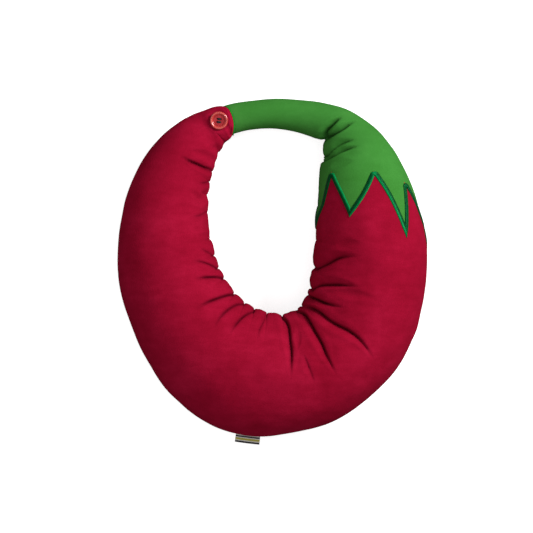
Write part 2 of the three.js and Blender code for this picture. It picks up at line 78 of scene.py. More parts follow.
# how far the stuffed cloth stands outside the frame's outline at the outer edge, mm by station
PROUD = {0: 0.5, 1: -0.5, 2: 0.1, 3: 0.4, 4: 0.6, 5: 0.9, 6: 0.9, 7: 1.6, 8: 1.8, 9: 1.7, 10: 1.5, 11: -1.1, 12: 1.4, 13: 2.4, 14: 2.8, 15: 1.7, 16: 1.1, 17: -0.0, 18: -0.0, 19: 0.7, 20: 0.5, 21: 0.9, 22: 2.2, 23: 1.5, 24: 1.5, 25: 1.4, 26: 1.5, 27: 1.4, 28: 0.6}
for k_, v_ in PROUD.items():
    d_ = STATIONS[k_, 0:2] - STATIONS[k_, 2:4]
    STATIONS[k_, 0:2] += d_ / np.linalg.norm(d_) * v_ * 1e-3
STEM_END = 30.36
LEFT_FLEX, RIGHT_FLEX = 8, 14
SPLIT = 11.0      # left and right covers meet here, under the thick end
CALYX_END = 21.6  # the calyx cover ends and the stem's cover begins
ZIGZAG = [(181, 17.6), (133.1, 20.60), (112.1, 18.47), (72.7, 20.165), (49.4, 17.83), (31.5, 19.53), (-11, 17.45),
          (-42, 19.6), (-72, 18.2), (-103, 20.2), (-134, 18.4), (-158, 20.4), (-179, 17.7)]


def stations(t):
    t = np.asarray(t, float)
    n = len(STATIONS)
    ext = np.vstack([2 * STATIONS[0] - STATIONS[1], STATIONS, 2 * STATIONS[-1] - STATIONS[-2]])
    i = np.clip(np.floor(t).astype(int), 0, n - 2)
    u = (t - i)[..., None]
    a, b, c, d = ext[i], ext[i + 1], ext[i + 2], ext[np.minimum(i + 3, n + 1)]
    return 0.5 * (2 * b + (c - a) * u + (2 * a - 5 * b + 4 * c - d) * u ** 2 + (3 * b - a - 3 * c + d) * u ** 3)


def taper(t):
    k = np.clip((np.asarray(t, float) - 29.45) / (STEM_END - 29.45), 0, 1)
    return np.sqrt(np.clip(1 - k * k, 0.0016, 1))


def surface(t, phi, off=0.0):
    """Point of the undisturbed ring at station t and section angle phi (radians)."""
    s = stations(t)
    o, i, b, zc = s[..., 0:2], s[..., 2:4], s[..., 4], s[..., 5]
    f = taper(t)
    w = np.linalg.norm(o - i, axis=-1)
    x = (w / 2 * f - off) * np.cos(phi)
    z = zc + (b * f - off) * np.sin(phi)
    xy = (o + i) / 2 + (o - i) / w[..., None] * x[..., None]
    return np.concatenate([xy, z[..., None]], -1)


def smooth(e0, e1, x):
    k = np.clip((x - e0) / (e1 - e0), 0, 1)
    return k * k * (3 - 2 * k)


def zigzag(deg):
    d = np.array([p[0] for p in ZIGZAG][::-1], float)
    v = np.array([p[1] for p in ZIGZAG][::-1], float)
    x = np.asarray(deg, float)
    x = np.where(x < d[0], x + 360, x)
    return np.interp(x, d, v)


# ------------------------------------------------------------------ global grid
def even_rows(t0, t1, step):
    """Stations between t0 and t1 about step metres apart along the outer-middle line."""
    tt = np.linspace(t0, t1, 2000)
    s = stations(tt)
    mid = 0.35 * s[:, 2:4] + 0.65 * s[:, 0:2]
    l = np.concatenate([[0], np.cumsum(np.linalg.norm(np.diff(mid, axis=0), axis=1))])
    n = max(2, int(round(l[-1] / step)))
    return np.interp(np.linspace(0, l[-1], n + 1), l, tt)


STEP = 0.00125
T_ROWS = np.concatenate([even_rows(0, SPLIT, STEP)[:-1], even_rows(SPLIT, CALYX_END, STEP)[:-1],
                         even_rows(CALYX_END, 29.45, STEP)[:-1],
                         29.45 + (STEM_END - 29.45) * np.sin(np.linspace(0, PI / 2, 14))])
NT = len(T_ROWS)
NF = 272      # columns once round the section, even number
PHI = np.linspace(-PI, PI, NF + 1)   # first and last column coincide at the inner seam
I_SPLIT = int(np.argmin(abs(T_ROWS - SPLIT)))
I_CALYX = int(np.argmin(abs(T_ROWS - CALYX_END)))
TT, FF = np.meshgrid(T_ROWS, PHI, indexing="ij")
P0 = surface(TT, FF)


def normals(P):
    """Outward unit normals of a grid of points that closes on itself along axis 1."""
    dt = np.gradient(P, axis=0)
    wrapped = np.concatenate([P[:, -2:-1], P, P[:, 1:2]], 1)
    df = (wrapped[:, 2:] - wrapped[:, :-2]) / 2
    n = np.cross(df, dt)
    n /= np.linalg.norm(n, axis=-1, keepdims=True) + 1e-12
    c = P[:, :-1].mean(1, keepdims=True)
    if ((P - c) * n).sum() < 0:
        n = -n
    return n


N0 = normals(P0)
PX = lambda x, y: ((x - 272) * 1.05e-3 + DX, (267.5 - y) * 1.05e-3 + DY)


def on_surface(points, side):
    """Plan points put on the upper (side 1) or lower (side -1) half of the ring, and the station and angle of the first."""
    half = (FF * side >= -1e-9) & (abs(FF) <= PI + 1e-9)
    cand, ct, cf = P0[half], TT[half], FF[half]
    out = []
    for n_, (x, y) in enumerate(points):
        d = np.hypot(cand[:, 0] - x, cand[:, 1] - y)
        k = np.argsort(d)[:3]
        w = 1 / (d[k] + 1e-5)
        out.append((cand[k] * w[:, None]).sum(0) / w.sum())
        if n_ == 0:
            first = (float(ct[k[0]]), float(cf[k[0]]))
    return np.array(out), first


def refine(poly, n=6):
    """Smooth curve through the points, Catmull-Rom."""
    p = np.vstack([2 * poly[0] - poly[1], poly, 2 * poly[-1] - poly[-2]])
    out = []
    for i in range(1, len(p) - 2):
        for u in np.linspace(0, 1, n, endpoint=False):
            a, b, c, d = p[i - 1], p[i], p[i + 1], p[i + 2]
            out.append(0.5 * (2 * b + (c - a) * u + (2 * a - 5 * b + 4 * c - d) * u ** 2 + (3 * b - a - 3 * c + d) * u ** 3))
    out.append(p[-2])
    return np.array(out)


# Folds, from the inner seam outwards: points in plan, depth and half width in mm on the side to the left and to the
# right of the fold, and the swell of the cloth beside it. A "crease" is a sharp tuck with full cloth on both sides,
# a "valley" a soft hollow; a free fold does not reach the inner seam.
FOLDS = [
    # thick end, right part: the long tucks
    dict(p=[(281.7, 315.6), (285.6, 319.6), (287.9, 326.3), (289.3, 338.4), (290.9, 351.8), (290.8, 362.5), (289.9, 380)], d=8.0, wl=9, wr=10, b=1.1, fade=0.6),
    dict(p=[(297.1, 310.5), (302.3, 312.9), (307.9, 321), (313.4, 330.4), (320.1, 342.4), (325.6, 354.5), (332.3, 368), (337, 377)], d=9.0, wl=9, wr=11, b=1.3, fade=0.62),
    dict(p=[(300.4, 305.4), (310.5, 307.8), (318.6, 312.3), (327.9, 319.6), (337.3, 325.2), (348, 330.9), (358.9, 339.4), (368.5, 352), (374, 361)], d=9.0, wl=10, wr=11, b=1.3, fade=0.64),
    dict(p=[(308.5, 296.6), (314, 298.6), (319.6, 301.3), (326, 303.4), (336, 305.6), (346, 307)], d=10, wl=14, wr=9, b=1.0),
    dict(p=[(311.0, 289.5), (316.8, 285.8), (325.3, 284.8), (336, 284.8), (348, 285.7), (363, 287.4)], d=7.0, wl=14, wr=6, b=1.3, fade=0.55, soft=0.4),
    dict(p=[(315.0, 268.9), (323.9, 264.6), (334.6, 259.2), (345.4, 256.9), (360, 257)], d=6.5, wl=16, wr=7, b=1.3, soft=0.45),
    dict(p=[(303.3, 355), (307.9, 366.5), (313.2, 380.5)], d=2.2, wl=8, wr=7, b=0.4, free=True),
    dict(p=[(335, 290.5), (350, 293.5), (372, 297.5)], d=1.5, wl=10, wr=9, b=0.2, free=True, kind="valley"),
    dict(p=[(334.8, 247), (345, 244.6), (359, 244)], d=1.4, wl=10, wr=10, b=0.2, free=True, kind="valley"),
    dict(p=[(296, 330), (297.5, 338), (297, 348)], d=1.2, wl=6, wr=6, b=0.2, free=True, kind="valley"),
    # thick end, left part: shorter gathers
    dict(p=[(266.2, 314.6), (263, 321), (259, 330), (257, 343)], d=2.2, wl=8, wr=8, b=0.5),
    dict(p=[(253.7, 310.7), (247.6, 313.1), (241.2, 317.4), (234.5, 325.4), (227, 336)], d=4.6, wl=9, wr=10, b=0.9),
    dict(p=[(243.8, 303.8), (236.9, 304.2), (228.3, 308.9), (219.4, 318), (213, 330)], d=4.4, wl=9, wr=11, b=0.8),
    dict(p=[(232.9, 294.7), (226.2, 295.4), (215.4, 298.9), (204.2, 303.8), (193, 311)], d=6.0, wl=9, wr=11, b=1.1),
    dict(p=[(222.8, 278.6), (214.1, 276.9), (204.7, 277.2), (192.7, 279.6)], d=5.4, wl=9, wr=10, b=1.0),
    dict(p=[(217.6, 268.6), (210.3, 264), (201, 261.4), (190, 262)], d=3.8, wl=9, wr=10, b=0.8),
    dict(p=[(214.2, 256), (207, 251), (199, 247)], d=2.8, wl=7, wr=9, b=0.6),
    dict(p=[(210.8, 238.6), (206, 236), (199, 234)], d=1.6, wl=7, wr=9, b=0.4, kind="valley"),
    # left arm
    dict(p=[(206.3, 212.8), (200, 216), (190, 217)], d=2.2, wl=10, wr=10, b=0.4),
    dict(p=[(206.4, 195.6), (202.0, 200.5), (196.0, 195.8), (188.4, 190)], d=3.0, wl=9, wr=14, b=0.6, kind="valley"),
    dict(p=[(209.2, 182), (204, 183.5), (197, 183)], d=2.4, wl=8, wr=8, b=0.5),
    dict(p=[(212.0, 171.6), (205, 168.1), (197.4, 164.8), (190.9, 162.2), (184.2, 158.9), (179, 156)], d=6.0, wl=7, wr=8, b=1.2, edge=0.10, fade=0.62, soft=0.2),
    dict(p=[(215.4, 162.4), (208.2, 157.4), (201.8, 154.6), (193, 152.4), (182, 152.6)], d=1.9, wl=8, wr=9, b=0.8, kind="valley"),
    dict(p=[(218.2, 153.0), (214.5, 148.5), (209, 144.5)], d=1.6, wl=8, wr=9, b=0.4, kind="valley"),
    dict(p=[(224.0, 142.6), (221.4, 139.1), (218, 135.2), (213, 131)], d=3.2, wl=6, wr=7, b=0.6),
    # calyx
    dict(p=[(325.6, 159.2), (331.6, 156.1), (338.3, 152.4), (345.9, 149.4), (360, 146.8)], d=8.0, wl=12, wr=5, b=1.2, soft=0.6, fade=0.62),
    dict(p=[(325.9, 154.4), (329.9, 151.1), (335.6, 146.8), (342.3, 143.2), (357, 139.6)], d=6.5, wl=14, wr=5, b=0.8, soft=0.6, fade=0.62),
    dict(p=[(323.9, 140.4), (327.7, 137.2), (333.5, 133.4), (342.1, 128.1), (358, 120.6)], d=9.0, wl=12, wr=6, b=1.0, soft=0.55, fade=0.66),
    dict(p=[(323.5, 139.4), (323.9, 135.8), (325.3, 131.6), (328.9, 127.3), (333.7, 123), (343, 115.6)], d=8.0, wl=10, wr=5, b=0.9, soft=0.4, fade=0.66),
    dict(p=[(331, 168), (340, 164), (352, 162)], d=1.4, wl=9, wr=9, b=0.2, free=True, kind="valley"),
]
# where the inner edge is drawn in between its lobes
CUSPS = [(224, 142.8, .7), (218.2, 153, .3), (211.7, 171.7, .4), (208.9, 181.7, .6), (206.3, 195, .6), (205.9, 212.4, .4),
         (210.8, 238.4, .7), (214.3, 255.8, .8), (217.3, 269.4, .9), (222.9, 279.5, .9), (232.9, 295.2, 1), (244.2, 303.7, 1),
         (253.6, 310.9, 1), (266.3, 315, 1), (281.9, 316.6, 1), (296.7, 310.9, .3), (300.1, 305.2, .4), (309.2, 296.2, .3),
         (311.5, 289.2, 1), (315.2, 268.8, 1), (316, 240, 1), (318.6, 205, 1), (325.3, 159.1, 1), (323.4, 140.4, 1), (318, 137, 0)]
SUN = np.array([0.64, 0.76])


def lay_folds(side):
    """Fold curves on one face of the ring, with depth factor along each."""
    out = []
    for k, f in enumerate(FOLDS):
        pts = [PX(*q) for q in f["p"]]
        depth = f["d"]
        if side < 0:  # underneath, the same tucks run on, each a little longer or shorter
            r = np.random.default_rng(100 + k)
            scale = 0.75 + 0.4 * r.random()
            depth *= 0.7 + 0.4 * r.random()
            if f.get("free"):
                continue
            a = np.array(pts)
            lengths = np.concatenate([[0], np.cumsum(np.linalg.norm(np.diff(a, axis=0), axis=1))])
            keep = np.linspace(0, lengths[-1] * scale, len(a))
            bend = (r.random() - 0.5) * 0.25
            a = np.stack([np.interp(keep, lengths, a[:, 0]), np.interp(keep, lengths, a[:, 1])], 1)
            d = a[-1] - a[0]
            a += np.outer(np.linspace(0, 1, len(a)) ** 2, np.array([-d[1], d[0]]) * bend)
            pts = [tuple(q) for q in a]
        c, (t0, f0) = on_surface(pts, side)
        if not f.get("free"):
            ext = np.array([surface(np.array(t0), np.array(a)) for a in np.linspace(PI * side, f0, 4)[:-1]])
            c = np.vstack([ext, c[1:] if np.linalg.norm(ext[-1] - c[0]) < 0.001 else c])
        c = refine(c, 5)
        l = np.concatenate([[0], np.cumsum(np.linalg.norm(np.diff(c, axis=0), axis=1))])
        l /= l[-1]
        if f.get("free"):
            s = np.sin(PI * np.clip(l, 0.02, 0.98)) ** 0.7
        else:
            e = f.get("edge", 0.26)
            s = (1 - smooth(f.get("fade", 0.5), 1.0, l)) * (e + (1 - e) * smooth(0, 0.30, l))
        out.append((c, s, depth * 1e-3, f["wl"] * 1e-3, f["wr"] * 1e-3, f["b"] * 1e-3, f.get("kind", "crease"), side, f.get("soft", 0.2)))
    return out


def fold_field(P, N, folds):
    """Displacement of grid points P from all fold curves: along the normal, sideways, and how far into a crease each
    is, the last kept as a mask for painted shade in the crease bottoms.
    """
    flat, nrm = P.reshape(-1, 3), N.reshape(-1, 3)
    dip, swell, painted_crease_shade = np.zeros(len(flat)), np.zeros(len(flat)), np.zeros(len(flat))
    slide = np.zeros((len(flat), 3))
    for c, s, depth, wl, wr, bulge, kind, side, soft in folds:
        reach = max(wl, wr) * 2.2
        near = np.where((np.abs(flat - (c.min(0) + c.max(0)) / 2) < (c.max(0) - c.min(0)) / 2 + reach).all(1))[0]
        if not len(near):
            continue
        q = flat[near]
        best = np.full(len(near), 1e9)
        sgn, str_, vec, pos = np.zeros(len(near)), np.zeros(len(near)), np.zeros((len(near), 3)), np.zeros(len(near))
        for i in range(len(c) - 1):
            a, b = c[i], c[i + 1]
            ab = b - a
            u = np.clip(((q - a) @ ab) / max(ab @ ab, 1e-12), 0, 1)
            v = q - (a + u[:, None] * ab)
            d = np.linalg.norm(v, axis=1)
            hit = d < best
            best = np.where(hit, d, best)
            left = (np.cross(ab, v) * nrm[near]).sum(1) * (1 if side > 0 else -1)
            sgn = np.where(hit, np.sign(left), sgn)
            str_ = np.where(hit, s[i] + (s[i + 1] - s[i]) * u, str_)
            vec = np.where(hit[:, None], v, vec)
            pos = np.where(hit, (i + u) / (len(c) - 1), pos)
        w = np.where(sgn > 0, wl, wr) * (0.4 + 0.6 * np.clip(str_, 0, 1)) * (1 - 0.5 * pos)
        soft_dist = np.sqrt(best ** 2 + 0.0006 ** 2) - 0.0006
        x = soft_dist / w
        k = 1 - np.clip(x, 0, 1)
        hat = vec / (np.linalg.norm(vec, axis=1, keepdims=True) + 1e-9)
        lit = smooth(-0.35, 0.35, hat[:, 0] * SUN[0] + hat[:, 1] * SUN[1])
        if kind == "crease":
            crisp = 1 - np.sqrt(np.clip(1 - k * k, 0, 1))
            if soft > 0.3:           # a slack fold, its shaded side rolling over slowly
                mixs = 0.05 + soft * lit
                v = crisp * (1 - mixs) + k ** 1.7 * mixs
            else:                    # a tight tuck between two full rolls
                kn = 1 - np.clip(x / 0.45, 0, 1)
                v = 0.60 * (1 - np.sqrt(np.clip(1 - kn * kn, 0, 1))) + 0.22 * k * k * (3 - 2 * k) * (1 - 0.8 * lit)
            near_c = np.exp(-(best / (0.34 * w)) ** 2)
            slide[near] -= hat * (0.42 * best * near_c * np.clip(str_ * 1.4, 0, 1))[:, None]
            lean = np.exp(-(best / 0.0032) ** 2) * np.clip(str_, 0, 1) * min(1.0, depth / 0.006) * 0.0009
            slide[near] += np.stack([SUN[0] * lean, SUN[1] * lean, 0 * lean], 1)
            # painted shade: marks the bottom of each crease so that its colour can be darkened there
            painted_crease_shade[near] = np.maximum(painted_crease_shade[near], np.exp(-(best / 0.0021) ** 2) * np.clip(str_ * 1.3, 0, 1) * min(1.0, depth / 0.0055))
        else:
            v = k * k * (3 - 2 * k)
        bump = np.exp(-((x - 1.05) / 0.5) ** 2)
        dip[near] = np.maximum(dip[near], depth * str_ * v)
        swell[near] = np.maximum(swell[near], 0.6 * bulge * str_ * bump * (1 if soft > 0.3 else 1 - 0.45 * lit))
    return (swell - dip).reshape(P.shape[:2]), slide.reshape(P.shape), painted_crease_shade.reshape(P.shape[:2])


def value_noise(P, scale, seed):
    """Smooth 3-D value noise in -1..1."""
    r = np.random.default_rng(seed)
    tab = r.random((24, 24, 24)) * 2 - 1
    q = P / scale + 100.37
    i = np.floor(q).astype(int)
    f = q - i
    f = f * f * (3 - 2 * f)
    out = 0
    for dx in (0, 1):
        for dy in (0, 1):
            for dz in (0, 1):
                w = np.where(dx, f[..., 0], 1 - f[..., 0]) * np.where(dy, f[..., 1], 1 - f[..., 1]) * np.where(dz, f[..., 2], 1 - f[..., 2])
                out = out + w * tab[(i[..., 0] + dx) % 24, (i[..., 1] + dy) % 24, (i[..., 2] + dz) % 24]
    return out


s_all = stations(T_ROWS)
INNER_ARC = np.concatenate([[0], np.cumsum(np.linalg.norm(np.diff(s_all[:, 2:4], axis=0), axis=1))])


def lobes(arc):
    """Round lobes of cloth between the points where the inner edge is drawn in, -0.5 at those points."""
    at = sorted((float(INNER_ARC[np.argmin(np.hypot(s_all[:, 2] - PX(x, y)[0], s_all[:, 3] - PX(x, y)[1]))]), k) for x, y, k in CUSPS)
    h = np.zeros_like(arc)
    for (a, share), (b, _) in zip(at, at[1:]):
        if b - a < 0.002:
            continue
        inside = (arc >= a) & (arc <= b)
        u = np.clip((arc - a) / (b - a), 0, 1)
        amp = share * (min(0.13 * (b - a), 0.0019) * math.exp(-((b - a) / 0.05) ** 2) + 0.0002)
        h = np.where(inside, amp * (np.sqrt(np.clip(1 - (2 * u - 1) ** 2, 0, 1)) * 1.35 - 0.75), h)
    return h


def rest_on_table(Q):
    """Presses whatever reaches below the table plane flat, rounding up softly at its border."""
    k = 0.0035
    z = Q[..., 2]
    Q[..., 2] = np.where(z < k, k * np.exp(np.clip((z - k) / k, -8, 0)), z)
    Q[..., 2] = np.maximum(Q[..., 2] - 0.0002, 0.00015)
    return Q


START_LESS = 0.0012    # how much smaller the cover starts before it is stuffed


def starts_smaller(T, F, z):
    """The cover starts a little slim away from its seams and its rest, so stuffing swells it to its measured size."""
    side = (1 - np.exp(-((PI - abs(F)) / 0.55) ** 2)) * (1 - np.exp(-(F / 0.55) ** 2))
    return START_LESS * side * smooth(0.3, 2.0, T) * (1 - smooth(19.5, 22.0, T)) * smooth(0.004, 0.020, z)


def drape(P, N, T, F, puff=None):
    """The sewn shape: folds, pinched seams, uneven filling, and the flattened underside."""
    s = stations(T)
    size = np.clip(s[..., 4] / 0.0485, 0.25, 1)
    h, slide, painted_crease_shade = fold_field(P, N, ALL_FOLDS)
    # lumpy filling, quieter on the stem
    h = h + 0.0012 * size * value_noise(P, 0.040, 3) + 0.0005 * size * value_noise(P, 0.017, 4)
    inner = np.exp(-((PI - abs(F)) / 0.60) ** 2)
    body = smooth(0.4, 2.5, T) * (1 - smooth(19.5, 21.5, T))
    arc = np.interp(T, T_ROWS, INNER_ARC)
    h += lobes(arc) * inner * smooth(0.2, 1.0, T)
    # small gathers where the panel is eased into the inner seam
    wave = np.sin(arc / 0.0013 + 2.5 * value_noise(P, 0.02, 5)) * np.clip(0.3 + 0.7 * value_noise(P, 0.021, 6), 0, 1)
    h += 0.00030 * np.exp(-((PI - abs(F)) / 0.16) ** 2) * body * wave
    # pinched seams: outer edge and inner edge
    outer = np.exp(-(abs(F) * s[..., 4] / 0.0016) ** 2) * (1 - smooth(29.3, 29.6, T))
    innr = np.exp(-((PI - abs(F)) * s[..., 4] / 0.0016) ** 2) * (1 - smooth(29.3, 29.6, T))
    h -= 0.0006 * outer + 0.0010 * innr
    if puff is not None:
        h = h - starts_smaller(T, F, P[..., 2])
    Q = P + N * h[..., None] + slide
    if puff is not None:
        Q = Q + puff
    return rest_on_table(Q), painted_crease_shade


ALL_FOLDS = lay_folds(1) + lay_folds(-1)


# ------------------------------------------------------------------ cloth simulation of the stuffed cover
def stuffed_cover():
    """Movement of the cover when the filling presses it out: a coarse copy of the whole sewn tube is simulated as
    cloth under pressure, held at its seams, at the bottoms of its tucks and where it rests. Returns the movement at
    each point of the fine grid. The pressure is high because the springs are: on a 48 mm tube with 5 mm facets the
    cover stretches by about pressure x 0.048 x 0.005 / 15, some 3 percent here."""
    rows_c = np.concatenate([even_rows(0, CALYX_END, 0.0050)[:-1], even_rows(CALYX_END, 29.2, 0.006)])
    nfc = 80
    phi_c = np.linspace(-PI, PI, nfc + 1)[:-1]
    T, F = np.meshgrid(rows_c, phi_c, indexing="ij")
    B = surface(T, F)
    wrap = np.concatenate([B, B[:, :1]], 1)
    Nc = normals(wrap)[:, :-1]
    h, _, painted_crease_shade = fold_field(B, Nc, ALL_FOLDS)
    arc = np.interp(T, T_ROWS, INNER_ARC)
    C = rest_on_table(B + Nc * (h * 0.8 + lobes(arc) * 0.7 * np.exp(-((PI - abs(F)) / 0.6) ** 2) - starts_smaller(T, F, B[..., 2]))[..., None])
    nr = len(rows_c)
    vid = np.arange(nr * nfc).reshape(nr, nfc)
    quads = [(vid[i, j], vid[i, (j + 1) % nfc], vid[i + 1, (j + 1) % nfc], vid[i + 1, j]) for i in range(nr - 1) for j in range(nfc)]
    verts = np.vstack([C.reshape(-1, 3), C[0].mean(0), C[-1].mean(0)])
    n_ = nr * nfc
    caps = [(vid[0, (j + 1) % nfc], vid[0, j], n_) for j in range(nfc)] + [(vid[-1, j], vid[-1, (j + 1) % nfc], n_ + 1) for j in range(nfc)]
    me = bpy.data.meshes.new("sim_tube")
    me.from_pydata([tuple(v) for v in verts], [], [tuple(int(k) for k in f) for f in quads + caps])
    me.update()
    ob = bpy.data.objects.new("sim_tube", me)
    bpy.context.scene.collection.objects.link(ob)
    fix_normals(ob)
    held = np.zeros((nr, nfc))
    held[:2] = held[-2:] = 1
    held = np.maximum(held, np.exp(-((PI - abs(F)) / 0.09) ** 2))            # inner seam
    held = np.maximum(held, np.exp(-(F / 0.09) ** 2))                        # outer seam
    held = np.maximum(held, 1 - smooth(0.002, 0.010, C[..., 2]))              # where it rests
    held = np.maximum(held, smooth(21.0, 22.5, T))                           # the slim stem keeps its size
    sewn = held.copy()
    held = np.maximum(held, smooth(0.0008, 0.0030, -h))                      # the tucks, as wide as the facets can tell
    pin = ob.vertex_groups.new(name="held")
    hv = held.ravel()
    for k in range(n_):
        pin.add([k], float(hv[k]), "REPLACE")
    pin.add([n_, n_ + 1], 1.0, "REPLACE")
    md = ob.modifiers.new("cloth", "CLOTH")
    cs = md.settings
    cs.quality = 5
    cs.mass = 0.3
    cs.tension_stiffness = cs.compression_stiffness = 15
    cs.shear_stiffness = 5
    cs.bending_stiffness = 0.25
    cs.vertex_group_mass = "held"
    cs.pin_stiffness = 1.0
    cs.use_pressure = True
    cs.uniform_pressure_force = 2000
    cs.effector_weights.gravity = 0
    md.point_cache.frame_start, md.point_cache.frame_end = 1, 20
    sc_ = bpy.context.scene
    for fr in range(1, 21):
        sc_.frame_set(fr)
    ev = ob.evaluated_get(bpy.context.evaluated_depsgraph_get())
    got = np.zeros(len(ev.data.vertices) * 3)
    ev.data.vertices.foreach_get("co", got)
    got = got.reshape(-1, 3)[:n_].reshape(nr, nfc, 3)
    bpy.data.objects.remove(ob)
    bpy.data.meshes.remove(me)
    sc_.frame_set(1)
    move = got - C
    size = np.linalg.norm(move, axis=-1, keepdims=True)
    cap = 0.0045
    out_ = (move * Nc).sum(-1)[held < 0.05]
    print("cloth: moved", round(float(size.mean() * 1000), 2), "mm on average,", round(float(size.max() * 1000), 2),
          "at most, free cloth pressed out", round(float(out_.mean() * 1000), 2), "mm")
    if not 0.0004 < float(out_.mean()) < 0.004:
        raise RuntimeError("the cloth run left the cover where it was, or blew it up")
    move *= np.where(size > cap, cap / (size + 1e-9), 1.0) * (0.55 + 0.45 * np.exp(-(size / cap)))
    for _ in range(2):        # takes off what is only the size of a facet
        move = (np.roll(move, 1, 1) + 2 * move + np.roll(move, -1, 1)) / 4
        pad = np.concatenate([move[:1], move, move[-1:]])
        move = (pad[:-2] + 2 * pad[1:-1] + pad[2:]) / 4
    move *= (1 - sewn)[..., None]
    move = np.concatenate([move, move[:, :1]], 1)
    # carried over to the fine grid, cubic along and round
    ti = np.interp(T_ROWS, rows_c, np.arange(nr))
    pj = (PHI + PI) / (2 * PI) * nfc

    def cubic(A, x, periodic):
        n = len(A)
        i = np.clip(np.floor(x).astype(int), 0, n - 2)
        u = x - i
        idx = lambda k: (k % (n - 1)) if periodic else np.clip(k, 0, n - 1)
        a, b, c, d = A[idx(i - 1)], A[i], A[i + 1], A[idx(i + 2)]
        u = u.reshape((-1,) + (1,) * (A.ndim - 1))
        return 0.5 * (2 * b + (c - a) * u + (2 * a - 5 * b + 4 * c - d) * u ** 2 + (3 * b - a - 3 * c + d) * u ** 3)

    fine = cubic(move, ti, False)
    fine = np.swapaxes(cubic(np.swapaxes(fine, 0, 1), pj, True), 0, 1)
    return fine


def fix_normals(ob):
    import bmesh
    bm = bmesh.new()
    bm.from_mesh(ob.data)
    bmesh.ops.recalc_face_normals(bm, faces=bm.faces)
    bm.to_mesh(ob.data)
    bm.free()
    ob.data.update()


PUFF = stuffed_cover()
P1, PAINTED_CREASE_SHADE = drape(P0, N0, TT, FF, PUFF)
P1[:, -1] = P1[:, 0]
PAINTED_CREASE_SHADE[:, -1] = PAINTED_CREASE_SHADE[:, 0]
N1 = normals(P1)
N1[:, -1] = N1[:, 0]


# ------------------------------------------------------------------ mesh helpers
def new_mesh(name, verts, faces, material=None, vert_normals=None, smooth_shade=True):
    me = bpy.data.meshes.new(name)
    me.from_pydata([tuple(v) for v in np.asarray(verts, float)], [], [tuple(int(i) for i in f) for f in faces])
    me.update()
    ob = bpy.data.objects.new(name, me)
    bpy.context.scene.collection.objects.link(ob)
    if smooth_shade:
        me.polygons.foreach_set("use_smooth", np.ones(len(me.polygons), bool))
    if material:
        me.materials.append(material)
    if vert_normals is not None:
        loops = np.zeros(len(me.loops), np.int32)
        me.loops.foreach_get("vertex_index", loops)
        me.normals_split_custom_set([tuple(n) for n in np.asarray(vert_normals)[loops]])
    return ob


def shell(name, mask, material, thick=0.0013):
    """A cover panel: the grid faces picked by mask (rows-1 x columns-1), as a closed skin of fabric thickness."""
    ii, jj = np.where(mask)
    q = np.stack([ii * (NF + 1) + jj, (ii + 1) * (NF + 1) + jj, (ii + 1) * (NF + 1) + jj + 1, ii * (NF + 1) + jj + 1], 1)
    used, inv = np.unique(q, return_inverse=True)
    q = inv.reshape(q.shape)
    V, N = P1.reshape(-1, 3)[used], N1.reshape(-1, 3)[used]
    Ng = N0.reshape(-1, 3)[used]
    n = len(V)
    inner = V - Ng * thick
    inner[:, 2] = np.maximum(inner[:, 2], 0.0007)
    # orientation of the outer faces
    a, b, c = V[q[:, 0]], V[q[:, 1]], V[q[:, 2]]
    if ((np.cross(b - a, c - a)) * N[q[:, 0]]).sum() < 0:
        q = q[:, ::-1]
    faces = [tuple(f) for f in q] + [tuple(f + n) for f in q[:, ::-1]]
    edges = np.concatenate([q[:, [0, 1]], q[:, [1, 2]], q[:, [2, 3]], q[:, [3, 0]]])
    seen = {}
    for u, v in edges:
        seen[(u, v)] = 1
    rim = [(u, v) for (u, v) in seen if (v, u) not in seen]
    faces += [(v, u, u + n, v + n) for u, v in rim]
    verts = np.vstack([V, inner])
    me = bpy.data.meshes.new(name)
    me.from_pydata([tuple(v) for v in verts], [], [tuple(int(i) for i in f) for f in faces])
    me.update()
    me.polygons.foreach_set("use_smooth", np.ones(len(me.polygons), bool))
    loops = np.zeros(len(me.loops), np.int32)
    me.loops.foreach_get("vertex_index", loops)
    vn = np.vstack([N, -N])[loops]
    start = np.zeros(len(me.polygons), np.int32)
    me.polygons.foreach_get("loop_start", start)
    vn[start[2 * len(q)]:] = 0.0
    me.normals_split_custom_set([tuple(v) for v in vn])
    me.materials.append(material)
    # painted shade: the crease mask, kept on the points for the velour colour
    painted_crease_shade = PAINTED_CREASE_SHADE.reshape(-1)[used].astype(np.float32)
    at = me.attributes.new("painted_crease_shade", "FLOAT", "POINT")
    at.data.foreach_set("value", np.concatenate([painted_crease_shade, painted_crease_shade]))
    ob = bpy.data.objects.new(name, me)
    bpy.context.scene.collection.objects.link(ob)
    return ob


def sample(t, phi, A=None):
    """Bilinear sample of a grid array at (t, phi)."""
    A = P1 if A is None else A
    t = np.clip(np.asarray(t, float), T_ROWS[0], T_ROWS[-1])
    phi = (np.asarray(phi, float) + PI) % (2 * PI) - PI
    i = np.clip(np.searchsorted(T_ROWS, t, side="right") - 1, 0, NT - 2)
    u = (t - T_ROWS[i]) / (T_ROWS[i + 1] - T_ROWS[i])
    g = (phi + PI) / (2 * PI) * NF
    j = np.clip(np.floor(g).astype(int), 0, NF - 1)
    v = g - j
    u, v = u[..., None], v[..., None]
    return (A[i, j] * (1 - u) * (1 - v) + A[i + 1, j] * u * (1 - v) + A[i, j + 1] * (1 - u) * v + A[i + 1, j + 1] * u * v)


# ------------------------------------------------------------------ materials
def lin(r, g, b):
    f = lambda c: c / 12.92 if c <= 0.04045 else ((c + 0.055) / 1.055) ** 2.4
    return (f(r / 255), f(g / 255), f(b / 255), 1.0)


